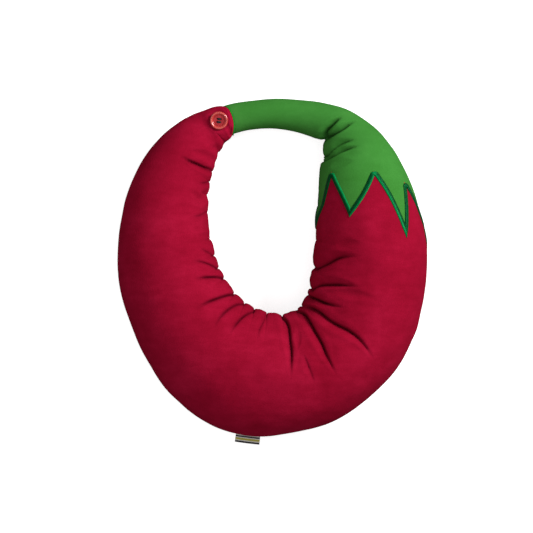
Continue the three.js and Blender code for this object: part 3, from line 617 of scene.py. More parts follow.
class Nodes:
    """Short hand for building a material's node tree."""

    def __init__(self, name):
        self.mat = bpy.data.materials.new(name)
        self.mat.use_nodes = True
        self.t = self.mat.node_tree
        self.t.nodes.clear()
        self.out = self.t.nodes.new("ShaderNodeOutputMaterial")
        self.bsdf = self.t.nodes.new("ShaderNodeBsdfPrincipled")
        self.t.links.new(self.bsdf.outputs[0], self.out.inputs[0])

    def add(self, kind, **kw):
        n = self.t.nodes.new(kind)
        for k, v in kw.items():
            if k == "inputs":
                for a, b in v.items():
                    if isinstance(b, bpy.types.NodeSocket):
                        self.t.links.new(b, n.inputs[a])
                    else:
                        n.inputs[a].default_value = b
            else:
                setattr(n, k, v)
        return n

    def set(self, **kw):
        for k, v in kw.items():
            key = k.replace("_", " ")
            s = self.bsdf.inputs[key]
            if isinstance(v, bpy.types.NodeSocket):
                self.t.links.new(v, s)
            else:
                s.default_value = v

    def noise(self, vec, scale, detail=3, rough=0.5, distort=0.0):
        return self.add("ShaderNodeTexNoise", inputs={"Vector": vec, "Scale": scale, "Detail": detail, "Roughness": rough, "Distortion": distort}).outputs["Fac"]

    def ramp(self, fac, stops):
        n = self.add("ShaderNodeValToRGB", inputs={"Fac": fac})
        e = n.color_ramp.elements
        e[0].position, e[0].color = stops[0]
        e[1].position, e[1].color = stops[-1]
        for p, c in stops[1:-1]:
            x = e.new(p)
            x.color = c
        return n.outputs["Color"]

    def math(self, op, a, b=0.0, clamp=False):
        n = self.add("ShaderNodeMath", operation=op, use_clamp=clamp)
        for i, v in enumerate((a, b)):
            if isinstance(v, bpy.types.NodeSocket):
                self.t.links.new(v, n.inputs[i])
            else:
                n.inputs[i].default_value = v
        return n.outputs[0]

    def mix(self, fac, a, b, mode="MIX"):
        n = self.add("ShaderNodeMix", data_type="RGBA", blend_type=mode)
        for k, v in (("Factor", fac), ("A", a), ("B", b)):
            s = [x for x in n.inputs if x.name == k and (x.type == "RGBA" or k == "Factor" and x.type == "VALUE")][0]
            if isinstance(v, bpy.types.NodeSocket):
                self.t.links.new(v, s)
            else:
                s.default_value = v
        return [x for x in n.outputs if x.type == "RGBA"][0]


def satin_material():
    """Close satin stitching: glossy green thread, dark between the rows, with a painted highlight of brighter green
    along one side of each limb and at the peaks.
    """
    m = Nodes("satin_edging")
    rest = m.add("ShaderNodeAttribute", attribute_name="rest").outputs["Vector"]
    # painted highlight: a mask on the border's points picks the brighter green
    painted_highlight = m.add("ShaderNodeAttribute", attribute_name="painted_highlight").outputs["Fac"]
    rows_v = m.add("ShaderNodeMapping", inputs={"Vector": rest, "Scale": (1.0, 0.22, 1.0)}).outputs[0]
    rows = m.noise(rows_v, 2300.0, 2, 0.6)
    wear = m.noise(rest, 260.0, 3, 0.5)
    f = m.math("ADD", m.math("MULTIPLY", rows, 0.6), m.math("MULTIPLY", wear, 0.4))
    body = m.ramp(f, [(0.3, lin(0, 42, 15)), (0.52, lin(0, 62, 27)), (0.7, lin(0, 82, 38))])
    painted_highlight_green = m.ramp(f, [(0.3, lin(0, 118, 58)), (0.52, lin(4, 146, 76)), (0.7, lin(20, 172, 96))])
    m.set(Base_Color=m.mix(painted_highlight, body, painted_highlight_green), Roughness=0.34, Specular_IOR_Level=0.4, Specular_Tint=lin(70, 200, 130))
    b = m.add("ShaderNodeBump", inputs={"Height": rows, "Strength": 0.4, "Distance": 0.0002})
    m.t.links.new(b.outputs[0], m.bsdf.inputs["Normal"])
    return m.mat


def velour(name, shade, mid, light, crease_shade_color):
    """Short-pile velour: brushed nap in drifting patches, fibre speckle, painted shade darkening the bottoms of the
    tucks, fine pile bump.
    """
    m = Nodes(name)
    rest = m.add("ShaderNodeAttribute", attribute_name="rest").outputs["Vector"]
    painted_crease_shade = m.add("ShaderNodeAttribute", attribute_name="painted_crease_shade").outputs["Fac"]
    patch = m.noise(rest, 17.0, 3, 0.5, 0.5)
    fine = m.noise(rest, 110.0, 4, 0.6)
    pile = m.noise(rest, 1300.0, 2, 0.7)
    streak_v = m.add("ShaderNodeMapping", inputs={"Vector": rest, "Rotation": (0, 0, 0.12), "Scale": (1.0, 3.4, 1.0)}).outputs[0]
    streak = m.noise(streak_v, 42.0, 3, 0.6)
    f = m.math("ADD", m.math("MULTIPLY", patch, 0.40), m.math("MULTIPLY", fine, 0.16))
    f = m.math("ADD", f, m.math("MULTIPLY", streak, 0.20))
    f = m.math("ADD", f, m.math("MULTIPLY", pile, 0.24))
    col = m.ramp(f, [(0.34, shade), (0.50, mid), (0.68, light)])
    # painted shade: crease bottoms pulled towards the near-black crease colour
    col = m.mix(m.math("MULTIPLY", painted_crease_shade, 0.72, clamp=True), col, crease_shade_color)
    m.set(Base_Color=col, Roughness=0.95, Specular_IOR_Level=0.03, Sheen_Weight=0.05, Sheen_Roughness=0.5, Sheen_Tint=light)
    h = m.math("ADD", m.math("MULTIPLY", m.noise(rest, 800.0, 3, 0.65), 0.8), m.math("MULTIPLY", fine, 0.8))
    b = m.add("ShaderNodeBump", inputs={"Height": h, "Strength": 0.45, "Distance": 0.0006})
    m.t.links.new(b.outputs[0], m.bsdf.inputs["Normal"])
    return m.mat


def thread(name, dark, light, rough=0.42, spec=0.45):
    """Lustrous thread laid across the path: fine bands, deeper between threads."""
    m = Nodes(name)
    al = m.add("ShaderNodeAttribute", attribute_name="lay").outputs["Vector"]
    sep = m.add("ShaderNodeSeparateXYZ", inputs={0: al})
    wob = m.noise(al, 900.0, 2)
    wave = m.add("ShaderNodeTexWave", wave_type="BANDS", bands_direction="X", inputs={"Vector": al, "Scale": 480.0, "Distortion": 0.6, "Detail": 1.0})
    f = m.math("ADD", m.math("MULTIPLY", wave.outputs["Fac"], 0.6), m.math("MULTIPLY", wob, 0.4))
    tint = tuple(min(1.0, c * 3.0 + 0.05) for c in light[:3]) + (1.0,)
    m.set(Base_Color=m.ramp(f, [(0.15, dark), (0.75, light)]), Roughness=rough, Specular_IOR_Level=spec, Specular_Tint=tint, Anisotropic=0.4)
    b = m.add("ShaderNodeBump", inputs={"Height": f, "Strength": 0.45, "Distance": 0.0003})
    m.t.links.new(b.outputs[0], m.bsdf.inputs["Normal"])
    return m.mat


# the last colour of each velour is the painted shade for the crease bottoms
RED = velour("velour_red", lin(132, 7, 33), lin(150, 12, 43), lin(171, 21, 56), lin(40, 0, 9))
GREEN = velour("velour_green", lin(55, 122, 45), lin(61, 130, 52), lin(71, 140, 60), lin(6, 38, 6))
EDGE = satin_material()
RED_THREAD = thread("thread_red", lin(110, 6, 28), lin(160, 20, 50), 0.6, 0.2)
GREEN_THREAD = thread("thread_green", lin(24, 96, 36), lin(60, 150, 60), 0.6, 0.2)
PIPING = thread("thread_piping", lin(6, 108, 22), lin(16, 150, 40))
BLACK_THREAD = thread("thread_black", lin(8, 14, 16), lin(44, 58, 62), 0.5)


def lining_material():
    m = Nodes("lining_red")
    v = m.add("ShaderNodeAttribute", attribute_name="rest").outputs["Vector"]
    a = m.add("ShaderNodeTexWave", wave_type="BANDS", bands_direction="X", inputs={"Vector": v, "Scale": 700.0, "Distortion": 0.3}).outputs["Fac"]
    b = m.add("ShaderNodeTexWave", wave_type="BANDS", bands_direction="Y", inputs={"Vector": v, "Scale": 700.0, "Distortion": 0.3}).outputs["Fac"]
    f = m.math("MULTIPLY", m.math("ADD", a, b), 0.5)
    m.set(Base_Color=m.ramp(f, [(0.2, lin(96, 6, 26)), (0.8, lin(142, 14, 42))]), Roughness=0.8, Sheen_Weight=0.1)
    n = m.add("ShaderNodeBump", inputs={"Height": f, "Strength": 0.4, "Distance": 0.0002})
    m.t.links.new(n.outputs[0], m.bsdf.inputs["Normal"])
    return m.mat


BUTTON_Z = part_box("button_disc")[0].z


def resin_material():
    """Cast button resin: pearly swirls under a polish, the raised rim coloured lighter and more orange than the dish.
    """
    m = Nodes("button_resin")
    v = m.add("ShaderNodeAttribute", attribute_name="rest").outputs["Vector"]
    swirl = m.noise(v, 210.0, 4, 0.6, 1.6)
    fine = m.noise(v, 900.0, 3, 0.5)
    f = m.math("ADD", m.math("MULTIPLY", swirl, 0.8), m.math("MULTIPLY", fine, 0.2))
    xyz = m.add("ShaderNodeSeparateXYZ", inputs={0: v})
    high = m.add("ShaderNodeMapRange", interpolation_type="SMOOTHSTEP", inputs={0: xyz.outputs["Z"], 1: BUTTON_Z + 0.0018, 2: BUTTON_Z + 0.0029, 3: 0.0, 4: 1.0}).outputs[0]
    dish = m.ramp(f, [(0.3, lin(138, 24, 30)), (0.5, lin(160, 36, 42)), (0.72, lin(184, 58, 66))])
    band = m.ramp(f, [(0.3, lin(172, 38, 34)), (0.5, lin(198, 58, 50)), (0.72, lin(216, 88, 76))])
    m.set(Base_Color=m.mix(high, dish, band),
          Roughness=m.math("ADD", 0.16, m.math("MULTIPLY", fine, 0.12)), Specular_IOR_Level=m.math("ADD", 0.12, m.math("MULTIPLY", high, 0.6)),
          Coat_Weight=m.math("MULTIPLY", high, 0.5), Coat_Roughness=0.1, Subsurface_Weight=0.08, Subsurface_Scale=0.001)
    n = m.add("ShaderNodeBump", inputs={"Height": fine, "Strength": 0.08, "Distance": 0.0002})
    m.t.links.new(n.outputs[0], m.bsdf.inputs["Normal"])
    return m.mat


def tape_material():
    """Plain woven tape: twill threads, a thin dark line woven near each selvedge and a mustard one between them."""
    m = Nodes("woven_tape")
    v = m.add("ShaderNodeAttribute", attribute_name="lay").outputs["Vector"]
    s = m.add("ShaderNodeSeparateXYZ", inputs={0: v})
    rot = m.add("ShaderNodeMapping", inputs={"Vector": v, "Rotation": (0, 0, 0.9)}).outputs[0]
    tw = m.add("ShaderNodeTexWave", wave_type="BANDS", bands_direction="X", inputs={"Vector": rot, "Scale": 520.0, "Distortion": 0.5}).outputs["Fac"]
    base = m.ramp(tw, [(0.2, lin(206, 204, 194)), (0.8, lin(243, 242, 236))])
    middle = m.add("ShaderNodeMath", operation="COMPARE", inputs={0: s.outputs["Y"], 1: 0.0040, 2: 0.0011}).outputs[0]
    base = m.mix(middle, base, m.ramp(tw, [(0.2, lin(158, 150, 52)), (0.8, lin(196, 188, 92))]))
    band = m.add("ShaderNodeMath", operation="COMPARE", inputs={0: s.outputs["Y"], 1: 0.0012, 2: 0.0008}).outputs[0]
    band2 = m.add("ShaderNodeMath", operation="COMPARE", inputs={0: s.outputs["Y"], 1: 0.0067, 2: 0.0008}).outputs[0]
    both = m.math("MAXIMUM", band, band2)
    col = m.mix(both, base, lin(36, 37, 40))
    m.set(Base_Color=col, Roughness=0.75, Sheen_Weight=0.1)
    n = m.add("ShaderNodeBump", inputs={"Height": tw, "Strength": 0.4, "Distance": 0.0002})
    m.t.links.new(n.outputs[0], m.bsdf.inputs["Normal"])
    return m.mat


LINING, RESIN, TAPE = lining_material(), resin_material(), tape_material()


def tag_rest(ob, lay=None):
    """Stores each vertex's rest place, so that patterns stay with the cloth when it bends."""
    co = np.array([v.co for v in ob.data.vertices]).astype(np.float32)
    a = ob.data.attributes.new("rest", "FLOAT_VECTOR", "POINT")
    a.data.foreach_set("vector", co.ravel())
    if lay is not None:
        b = ob.data.attributes.new("lay", "FLOAT_VECTOR", "POINT")
        b.data.foreach_set("vector", np.asarray(lay, np.float32).ravel())
    return ob


# ------------------------------------------------------------------ covers
TC = (TT[:-1, :-1] + TT[1:, :-1] + TT[:-1, 1:] + TT[1:, 1:]) / 4
FC = (FF[:-1, :-1] + FF[:-1, 1:]) / 2
FRONT, BACK = FC > 0, FC < 0
IS_GREEN = TC > zigzag(np.degrees(FC))
IS_GREEN &= TC > 15
rows = np.arange(NT - 1)[:, None] * np.ones((1, NF), int)
LEFT = rows < I_SPLIT
RIGHT = (rows >= I_SPLIT) & (rows < I_CALYX)
STEM = rows >= I_CALYX


def plane_pair(k, before, after, flip):
    """Two points either side of a flex line, on the line through its section's middle, square to the section."""
    s = STATIONS[k]
    d = (s[0:2] - s[2:4]) / np.linalg.norm(s[0:2] - s[2:4])
    n = np.array([-d[1], d[0]]) * flip
    c = (s[0:2] + s[2:4]) / 2
    a, b = c - n * before, c + n * after
    return (a[0], a[1], s[5]), (b[0], b[1], s[5])


L_START, L_END = plane_pair(LEFT_FLEX, 0.050, 0.080, 1)
R_START, R_END = plane_pair(RIGHT_FLEX, 0.045, 0.090, 1)
c8, c7 = STATIONS[8], STATIONS[7]
if np.dot(np.array(L_END[:2]) - np.array(L_START[:2]), (c7[:2] + c7[2:4] - c8[:2] - c8[2:4])) < 0:
    L_START, L_END = plane_pair(LEFT_FLEX, 0.050, 0.080, -1)
c14, c15 = STATIONS[14], STATIONS[15]
if np.dot(np.array(R_END[:2]) - np.array(R_START[:2]), (c15[:2] + c15[2:4] - c14[:2] - c14[2:4])) < 0:
    R_START, R_END = plane_pair(RIGHT_FLEX, 0.045, 0.090, -1)
S_START, S_END = plane_pair(23, 0.014, 0.016, 1)
c23, c24 = STATIONS[23], STATIONS[24]
if np.dot(np.array(S_END[:2]) - np.array(S_START[:2]), (c24[:2] + c24[2:4] - c23[:2] - c23[2:4])) < 0:
    S_START, S_END = plane_pair(23, 0.014, 0.016, -1)


def cover(name, mask, material, how, nodes):
    ob = shell(name, mask, material)
    tag_rest(ob)
    how(ob)
    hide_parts(*nodes)
    return ob


to_left = lambda o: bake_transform(o)
to_right = lambda o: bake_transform(o)
to_stem = lambda o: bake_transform(o)

cover("left_cover_front", LEFT & FRONT, RED, to_left, ["left_front_panel", "base_front_panel", "base_filling", "left_filling"])
cover("left_cover_back", LEFT & BACK, RED, to_left, ["left_back_panel", "base_back_panel"])
cover("right_cover_front", RIGHT & FRONT & ~IS_GREEN, RED, to_right, ["right_front_panel", "right_filling"])
cover("right_cover_back", RIGHT & BACK & ~IS_GREEN, RED, to_right, ["right_back_panel"])
cover("calyx_cover_front", RIGHT & FRONT & IS_GREEN, GREEN, to_right, ["calyx_front_panel"])
cover("calyx_cover_back", RIGHT & BACK & IS_GREEN, GREEN, to_right, ["calyx_back_panel"])
cover("stem_cover_front", STEM & FRONT, GREEN, to_stem, ["stem_front_panel", "stem_filling"])
cover("stem_cover_back", STEM & BACK, GREEN, to_stem, ["stem_back_panel"])


# ------------------------------------------------------------------ sweeps that lie on the cloth
def tube(name, path, radius, material, sides=8, closed_ends=True, twist=0.0, ridges=0):
    """Round cord along a path, with plied ridges."""
    p = np.asarray(path, float)
    d = np.gradient(p, axis=0)
    d /= np.linalg.norm(d, axis=1, keepdims=True) + 1e-12
    l = np.concatenate([[0], np.cumsum(np.linalg.norm(np.diff(p, axis=0), axis=1))])
    up = np.array([0, 0, 1.0])
    a = np.cross(d, up)
    bad = np.linalg.norm(a, axis=1) < 0.2
    a[bad] = np.cross(d[bad], [1.0, 0, 0])
    a /= np.linalg.norm(a, axis=1, keepdims=True)
    b = np.cross(a, d)
    verts, lay = [], []
    r = np.broadcast_to(radius, len(p))
    for i in range(len(p)):
        for k in range(sides):
            th = 2 * PI * k / sides
            rr = r[i] * (1 + (0.12 * math.cos(ridges * (th + twist * l[i])) if ridges else 0))
            verts.append(p[i] + (a[i] * math.cos(th) + b[i] * math.sin(th)) * rr)
            lay.append((l[i], r[i] * th, 0))
    faces = [(i * sides + k, i * sides + (k + 1) % sides, (i + 1) * sides + (k + 1) % sides, (i + 1) * sides + k)
             for i in range(len(p) - 1) for k in range(sides)]
    if closed_ends:
        faces.append(tuple(range(sides - 1, -1, -1)))
        faces.append(tuple((len(p) - 1) * sides + k for k in range(sides)))
    ob = new_mesh(name, verts, faces, material)
    fix_normals(ob)
    return tag_rest(ob, lay)


def edging(name, deg0, deg1):
    """Satin-stitched border along the zigzag: a rounded ridge of close threads, mitred at the points."""
    pts = [p for p in ZIGZAG if min(deg0, deg1) < p[0] < max(deg0, deg1)]
    pts = [(deg0, float(zigzag(deg0)))] + pts + [(deg1, float(zigzag(deg1)))]
    step = 0.00023
    T, F, corner = [], [], []
    for (da, ta), (db, tb) in zip(pts, pts[1:]):
        a, b = sample(ta, math.radians(da)), sample(tb, math.radians(db))
        n = max(4, int(np.linalg.norm(b - a) / step))
        u = np.linspace(0, 1, n, endpoint=False)
        T += list(ta + (tb - ta) * u)
        F += list(np.radians(da + (db - da) * u))
    T.append(pts[-1][1]); F.append(math.radians(pts[-1][0]))
    T, F = np.array(T), np.array(F)
    P = sample(T, F)
    Nn = sample(T, F, N1)
    Nn /= np.linalg.norm(Nn, axis=1, keepdims=True)
    d = np.diff(P, axis=0)
    d = np.vstack([d, d[-1]])
    d /= np.linalg.norm(d, axis=1, keepdims=True) + 1e-12
    # smooth directions within limbs, mitre at corners
    prev = np.vstack([d[0], d[:-1]])
    m0 = np.cross(Nn, prev); m0 /= np.linalg.norm(m0, axis=1, keepdims=True)
    m1 = np.cross(Nn, d); m1 /= np.linalg.norm(m1, axis=1, keepdims=True)
    m = m0 + m1
    m /= np.linalg.norm(m, axis=1, keepdims=True) + 1e-12
    stretch = np.clip(1 / np.clip((m * m0).sum(1), 0.25, 1), 1, 2.9)
    l = np.concatenate([[0], np.cumsum(np.linalg.norm(np.diff(P, axis=0), axis=1))])
    # near a corner the cross lines turn towards the mitre, as stitches fan round a point
    cor = np.where(stretch > 1.2)[0]
    half = 0.0026
    prof = [(-1.0, -0.25), (-0.97, 0.35), (-0.82, 0.72), (-0.5, 0.93), (-0.16, 1.0), (0.16, 1.0), (0.5, 0.93), (0.82, 0.72), (0.97, 0.35), (1.0, -0.25)]
    eps_t, eps_f = 1e-3, 1e-3
    Dt = (sample(T + eps_t, F, P0) - sample(T - eps_t, F, P0)) / (2 * eps_t)
    Df = (sample(T, F + eps_f, P0) - sample(T, F - eps_f, P0)) / (2 * eps_f)
    verts, lay = [], []
    mm, st = m.copy(), stretch.copy()
    turn = (np.cross(prev, d) * Nn).sum(1)
    windows = []
    for c in cor:
        peak = T[c] > 19
        tip = m[c] * -np.sign(turn[c])                                    # from the corner towards its point
        inner = half * stretch[c] * float(abs(prev[c] @ m[c]))            # where the inside edges meet, along the limb
        W = max(0.0052, inner + 0.001) if peak else 0.0052
        near = np.where(abs(l - l[c]) < W)[0]
        windows.append((c, near, W, tip, inner, peak))
        for i in near:
            if i == c:
                continue
            k = 1 - abs(l[i] - l[c]) / W
            side = m0[i] if i < c else m1[i]
            want = m[c] * stretch[c] * k + side * (1 - k)
            mm[i], st[i] = want / np.linalg.norm(want), np.linalg.norm(want)
    plus, minus, ctr = mm * (half * st)[:, None], -mm * (half * st)[:, None], np.zeros_like(mm)
    for c, near, W, tip, inner, peak in windows:
        if not peak:                 # the peaks are rounded, the valleys come to a point
            continue
        A = P[c] - tip * half * stretch[c]
        for i in near:
            side = (m0[c] if i <= c else m1[c]) * -np.sign(turn[c])
            go = prev[c] if i <= c else -d[c]
            full = math.acos(float(np.clip(side @ tip, -1, 1)))
            q_ = (W - abs(l[i] - l[c])) / W * (W - inner + 2 * half * full)
            if q_ < W - inner:
                reach = P[c] - go * (W - q_) + half * side
            else:
                th = (q_ - W + inner) / (2 * half)
                reach = A + 2 * half * (side * math.cos(th) + go * math.sin(th))
            (plus if turn[c] < 0 else minus)[i] = reach - P[i]
            ctr[i] = (plus[i] + minus[i]) / 2
    rows_ = []
    G = np.zeros((len(T), len(prof), 3))
    for j, (x, h) in enumerate(prof):
        off = ctr + abs(x) * ((plus if x > 0 else minus) - ctr)
        a11, a12, a22 = (Dt * Dt).sum(1), (Dt * Df).sum(1), (Df * Df).sum(1)
        r1, r2 = (off * Dt).sum(1), (off * Df).sum(1)
        det = a11 * a22 - a12 ** 2
        dt, df = (r1 * a22 - r2 * a12) / det, (a11 * r2 - a12 * r1) / det
        Pq = sample(T + dt, F + df)
        Nq = sample(T + dt, F + df, N1)
        Nq /= np.linalg.norm(Nq, axis=1, keepdims=True)
        ridge = 0.00012 * np.cos(2 * PI * l / 0.00075 + 0.5 * np.sin(l / 0.0041)) * (1 if 0 < j < len(prof) - 1 else 0)
        G[:, j] = Pq + Nq * (h * 0.00125 + ridge)[:, None]
    k = len(prof)
    verts = G.reshape(-1, 3)
    lay = np.stack([np.repeat(l, k), np.tile([x * half for x, _ in prof], len(l)), np.zeros(len(l) * k)], 1)
    faces = [(i * k + j, i * k + j + 1, (i + 1) * k + j + 1, (i + 1) * k + j) for i in range(len(T) - 1) for j in range(k - 1)]
    faces += [(i * k + k - 1, i * k, (i + 1) * k, (i + 1) * k + k - 1) for i in range(len(T) - 1)]
    faces += [tuple(range(k - 1, -1, -1)), tuple((len(T) - 1) * k + j for j in range(k))]
    ob = new_mesh(name, verts, faces, EDGE)
    fix_normals(ob)
    limb = np.interp(-np.degrees(F), [-p[0] for p in pts], np.arange(len(pts)))[:, None]
    xs = np.array([x for x, _ in prof])[None, :]
    which = np.clip(np.floor(limb), 0, len(pts) - 2).astype(int)
    # painted highlight: a band of brighter thread colour on each limb, at its listed place across the width
    at_ = np.array([LIMB_HIGHLIGHTS[i % len(LIMB_HIGHLIGHTS)][0] for i in range(len(pts))])[which]
    how = np.array([LIMB_HIGHLIGHTS[i % len(LIMB_HIGHLIGHTS)][1] for i in range(len(pts))])[which]
    painted_highlight = np.exp(-((xs - at_) / 0.30) ** 2) * how
    # painted highlight on the rounded peaks
    peak_highlight = np.exp(-(np.min([abs(l - l[c]) for c in cor if 19.8 < T[c] < 20.4] + [np.full(len(l), 1.0)], axis=0) / 0.0030) ** 2)[:, None]
    painted_highlight = np.clip(np.maximum(painted_highlight, 0.8 * peak_highlight * (xs > -0.8)), 0, 1).reshape(-1)
    at = ob.data.attributes.new("painted_highlight", "FLOAT", "POINT")
    at.data.foreach_set("value", painted_highlight.astype(np.float32))
    return tag_rest(ob, lay)


# painted highlight on each limb of the border, where the laid thread catches the light: across the width (-1..1), and
# how much
LIMB_HIGHLIGHTS = [(0.6, 0.10), (0.72, 1.0), (-0.72, 0.55), (-0.6, 0.9), (0.0, 0.14), (0.0, 0.12)]
e1 = edging("calyx_edging_satin_front", 180.6, -0.4)
to_right(e1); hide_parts("calyx_edging_front")
e2 = edging("calyx_edging_satin_back", 0.4, -179.4)
to_right(e2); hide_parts("calyx_edging_back")


def seam_cord(name, t0, t1, deg, material, how, nodes):
    tt = even_rows(t0, t1, 0.002)
    f = math.radians(deg)
    p = sample(tt, np.full(len(tt), f))
    n = sample(tt, np.full(len(tt), f), N0)
    p = p - n * 0.00012
    ob = tube(name, p, 0.00042, material, 8, True, 900.0, 2)
    how(ob)
    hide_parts(*nodes)
    return ob


Z0, Z180 = float(zigzag(0)), float(zigzag(180))
seam_cord("left_outer_seam_thread", 0.05, SPLIT, 0, RED_THREAD, to_left, ["left_outer_seam", "base_outer_seam"])
seam_cord("left_inner_seam_thread", 0.05, SPLIT, 180, RED_THREAD, to_left, ["left_inner_seam", "base_inner_closing_seam"])
seam_cord("right_outer_seam_thread", SPLIT, Z0, 0, RED_THREAD, to_right, ["right_outer_seam"])
seam_cord("right_inner_seam_thread", SPLIT, Z180, 180, RED_THREAD, to_right, ["right_inner_seam"])
seam_cord("calyx_outer_seam_thread", Z0, CALYX_END, 0, GREEN_THREAD, to_right, ["calyx_outer_seam"])
seam_cord("calyx_inner_seam_thread", Z180, CALYX_END, 180, GREEN_THREAD, to_right, ["calyx_inner_seam"])
seam_cord("stem_outer_seam_thread", CALYX_END, 29.4, 0, GREEN_THREAD, to_stem, ["stem_outer_seam"])
seam_cord("stem_inner_seam_thread", CALYX_END, 29.4, 180, GREEN_THREAD, to_stem, ["stem_inner_seam"])


# ------------------------------------------------------------------ end of the left arm, under the flap
def auto_sharp(ob, deg=35):
    import bmesh
    bm = bmesh.new()
    bm.from_mesh(ob.data)
    for e in bm.edges:
        e.smooth = len(e.link_faces) != 2 or e.calc_face_angle(0) < math.radians(deg)
    bm.to_mesh(ob.data)
    bm.free()


rim = P1[0, :-1]
axis_in = (P1[1, :-1].mean(0) - rim.mean(0))
axis_in /= np.linalg.norm(axis_in)
centre = rim.mean(0)
K = 14
cap, capi = [], []
for r in np.linspace(1, 0.0, K, endpoint=False):
    cap.append(centre + (rim - centre) * (r if r < 1 else 0.996) + axis_in * 0.0035 * (1 - r ** 2.2))
cap = np.array(cap)
n = rim.shape[0]
verts = np.vstack([cap.reshape(-1, 3), centre + axis_in * 0.0035])
faces = [(k * n + j, k * n + (j + 1) % n, (k + 1) * n + (j + 1) % n, (k + 1) * n + j) for k in range(K - 1) for j in range(n)]
faces += [((K - 1) * n + j, (K - 1) * n + (j + 1) % n, K * n) for j in range(n)]
inner = verts + axis_in * 0.001
m_ = len(verts)
faces += [tuple(i + m_ for i in f[::-1]) for f in faces]
faces += [((j + 1) % n, j, j + m_, (j + 1) % n + m_) for j in range(n)]
end = new_mesh("left_arm_end_panel", np.vstack([verts, inner]), faces, LINING)
fix_normals(end)
auto_sharp(end, 60)
tag_rest(end)
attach(end, "left_arm")

# ------------------------------------------------------------------ tip flap
mm = lambda pts: np.array(pts, float) / 1000.0 + np.array([DX, DY])


def along(pts, u, power=1.0):
    """Point at share u of a smooth curve through pts."""
    c = refine(mm(pts), 12)
    l = np.concatenate([[0], np.cumsum(np.linalg.norm(np.diff(c, axis=0), axis=1))])
    q = np.asarray(u) * l[-1]
    return np.stack([np.interp(q, l, c[:, 0]), np.interp(q, l, c[:, 1])], -1)


OUTER = [(-83.0, 160.7), (-77.5, 163.1), (-72.4, 165.0), (-60.5, 168.3), (-54.4, 169.3), (-49.6, 169.0)]
INNER = [(-55.7, 121.3), (-52.3, 125.6), (-50.3, 130.4), (-45.0, 135.2), (-41.7, 139.7)]
ENDC = [(-49.6, 169.0), (-46.7, 166.9), (-44.4, 162.9), (-42.3, 157.4), (-40.9, 151.4), (-40.6, 145.2), (-41.7, 139.7)]
NU, NV = ((64, 98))   # NV matches the ring's own columns over its top half
NV = NF // 2
U = np.concatenate([np.linspace(0, 0.86, NU - 14), 0.86 + 0.14 * np.sin(np.linspace(0, PI / 2, 15))[1:]])
F2 = np.linspace(0, PI, NV + 1)
V = (1 - np.cos(F2)) / 2
UU, VV = np.meshgrid(U, V, indexing="ij")
A_, B_ = along(OUTER, U)[:, None], along(INNER, U)[:, None]
R_ = (mm([(-83.0, 160.7)]) * (1 - V)[:, None] + mm([(-55.7, 121.3)]) * V[:, None])[None]
E_ = along(ENDC, V)[None]
Q00, Q01, Q10, Q11 = A_[0, 0], B_[0, 0], A_[-1, 0], B_[-1, 0]
XY = ((1 - VV)[..., None] * A_ + VV[..., None] * B_ + (1 - UU)[..., None] * R_ + UU[..., None] * E_
      - ((1 - UU) * (1 - VV))[..., None] * Q00 - ((1 - UU) * VV)[..., None] * Q01
      - (UU * (1 - VV))[..., None] * Q10 - (UU * VV)[..., None] * Q11)
LFLAP = 0.038
crown = 0.0423 + 0.0022 * np.exp(-UU * LFLAP * 0.31 / 0.0022)
edge_z = 0.0275 - 0.0012 * smooth(0, 1, UU)
sn = np.clip(np.sin(np.arccos(np.clip(1 - 2 * VV, -1, 1))), 0, 1)
pw = 1 - 0.42 * smooth(0, 0.35, UU)
top = edge_z + (crown - edge_z) * sn ** pw
bot = edge_z + (0.0340 - edge_z) * sn ** (pw + 0.1) - 0.0010
f_end = np.sqrt(np.clip(1 - np.clip((UU - 0.9) / 0.1, 0, 1) ** 2, 0, 1))
mid_ = (top + bot) / 2 * 0.45 + bot * 0.55
top_f = mid_ + (top - mid_) * f_end
bot_f = mid_ + (bot - mid_) * f_end
FT = np.concatenate([XY, top_f[..., None]], -1)
FB = np.concatenate([XY, bot_f[..., None]], -1)
# the root row is the ring's own first row
k0 = NF // 2
root = P1[0, k0:k0 + NV + 1]
FT += (root - FT[0])[None] * np.exp(-(U / 0.22) ** 2)[:, None, None]


def open_normals(P):
    n = np.cross(np.gradient(P, axis=1), np.gradient(P, axis=0))
    n /= np.linalg.norm(n, axis=-1, keepdims=True) + 1e-12
    if n[..., 2].sum() < 0:
        n = -n
    return n


FN = open_normals(FT)
bx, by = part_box("button_disc")[0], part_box("button_disc")[1]
BC = np.array([(bx.x + by.x) / 2, (bx.y + by.y) / 2, bx.z])
BR = (by.x - bx.x) / 2
flap_folds = []
for pts, d, w in (([(227.2, 126.3), (229.5, 130), (230.9, 135)], 1.6, 5), ([(225.0, 142.8), (222.2, 139.3), (218.6, 135.3), (213.5, 131.6)], 2.2, 7)):
    c = []
    for q in pts:
        x, y = PX(*q)
        dd = np.hypot(FT[..., 0] - x, FT[..., 1] - y)
        i, j = np.unravel_index(np.argmin(dd), dd.shape)
        c.append(FT[i, j])
    c = refine(np.array(c), 5)
    s = (np.linspace(0.55, 1, len(c)) if w < 6.5 else 1 - smooth(0.35, 1.0, np.linspace(0, 1, len(c))))
    flap_folds.append((c, s, d * 1e-3, w * 1e-3, w * 1e-3, 0.0004, "crease" if w > 6.5 else "valley", 1, 0.3))
fh, fs_, fd_ = fold_field(FT, FN, flap_folds)
fh = fh * np.minimum(1, U / 0.12)[:, None]
rb = np.hypot(FT[..., 0] - BC[0], FT[..., 1] - BC[1])
fh += 0.0011 * np.exp(-((rb - 0.0125) / 0.0040) ** 2) * smooth(0.05, 0.3, UU) - 0.0007 * np.exp(-(rb / 0.0098) ** 6)
fh += 0.0005 * value_noise(FT, 0.012, 9) * smooth(0, 0.3, UU)
topstitch = np.exp(-((UU - 0.895) / 0.018) ** 2)
fh -= 0.0005 * topstitch * smooth(0.02, 0.1, VV) * (1 - smooth(0.9, 0.98, VV))
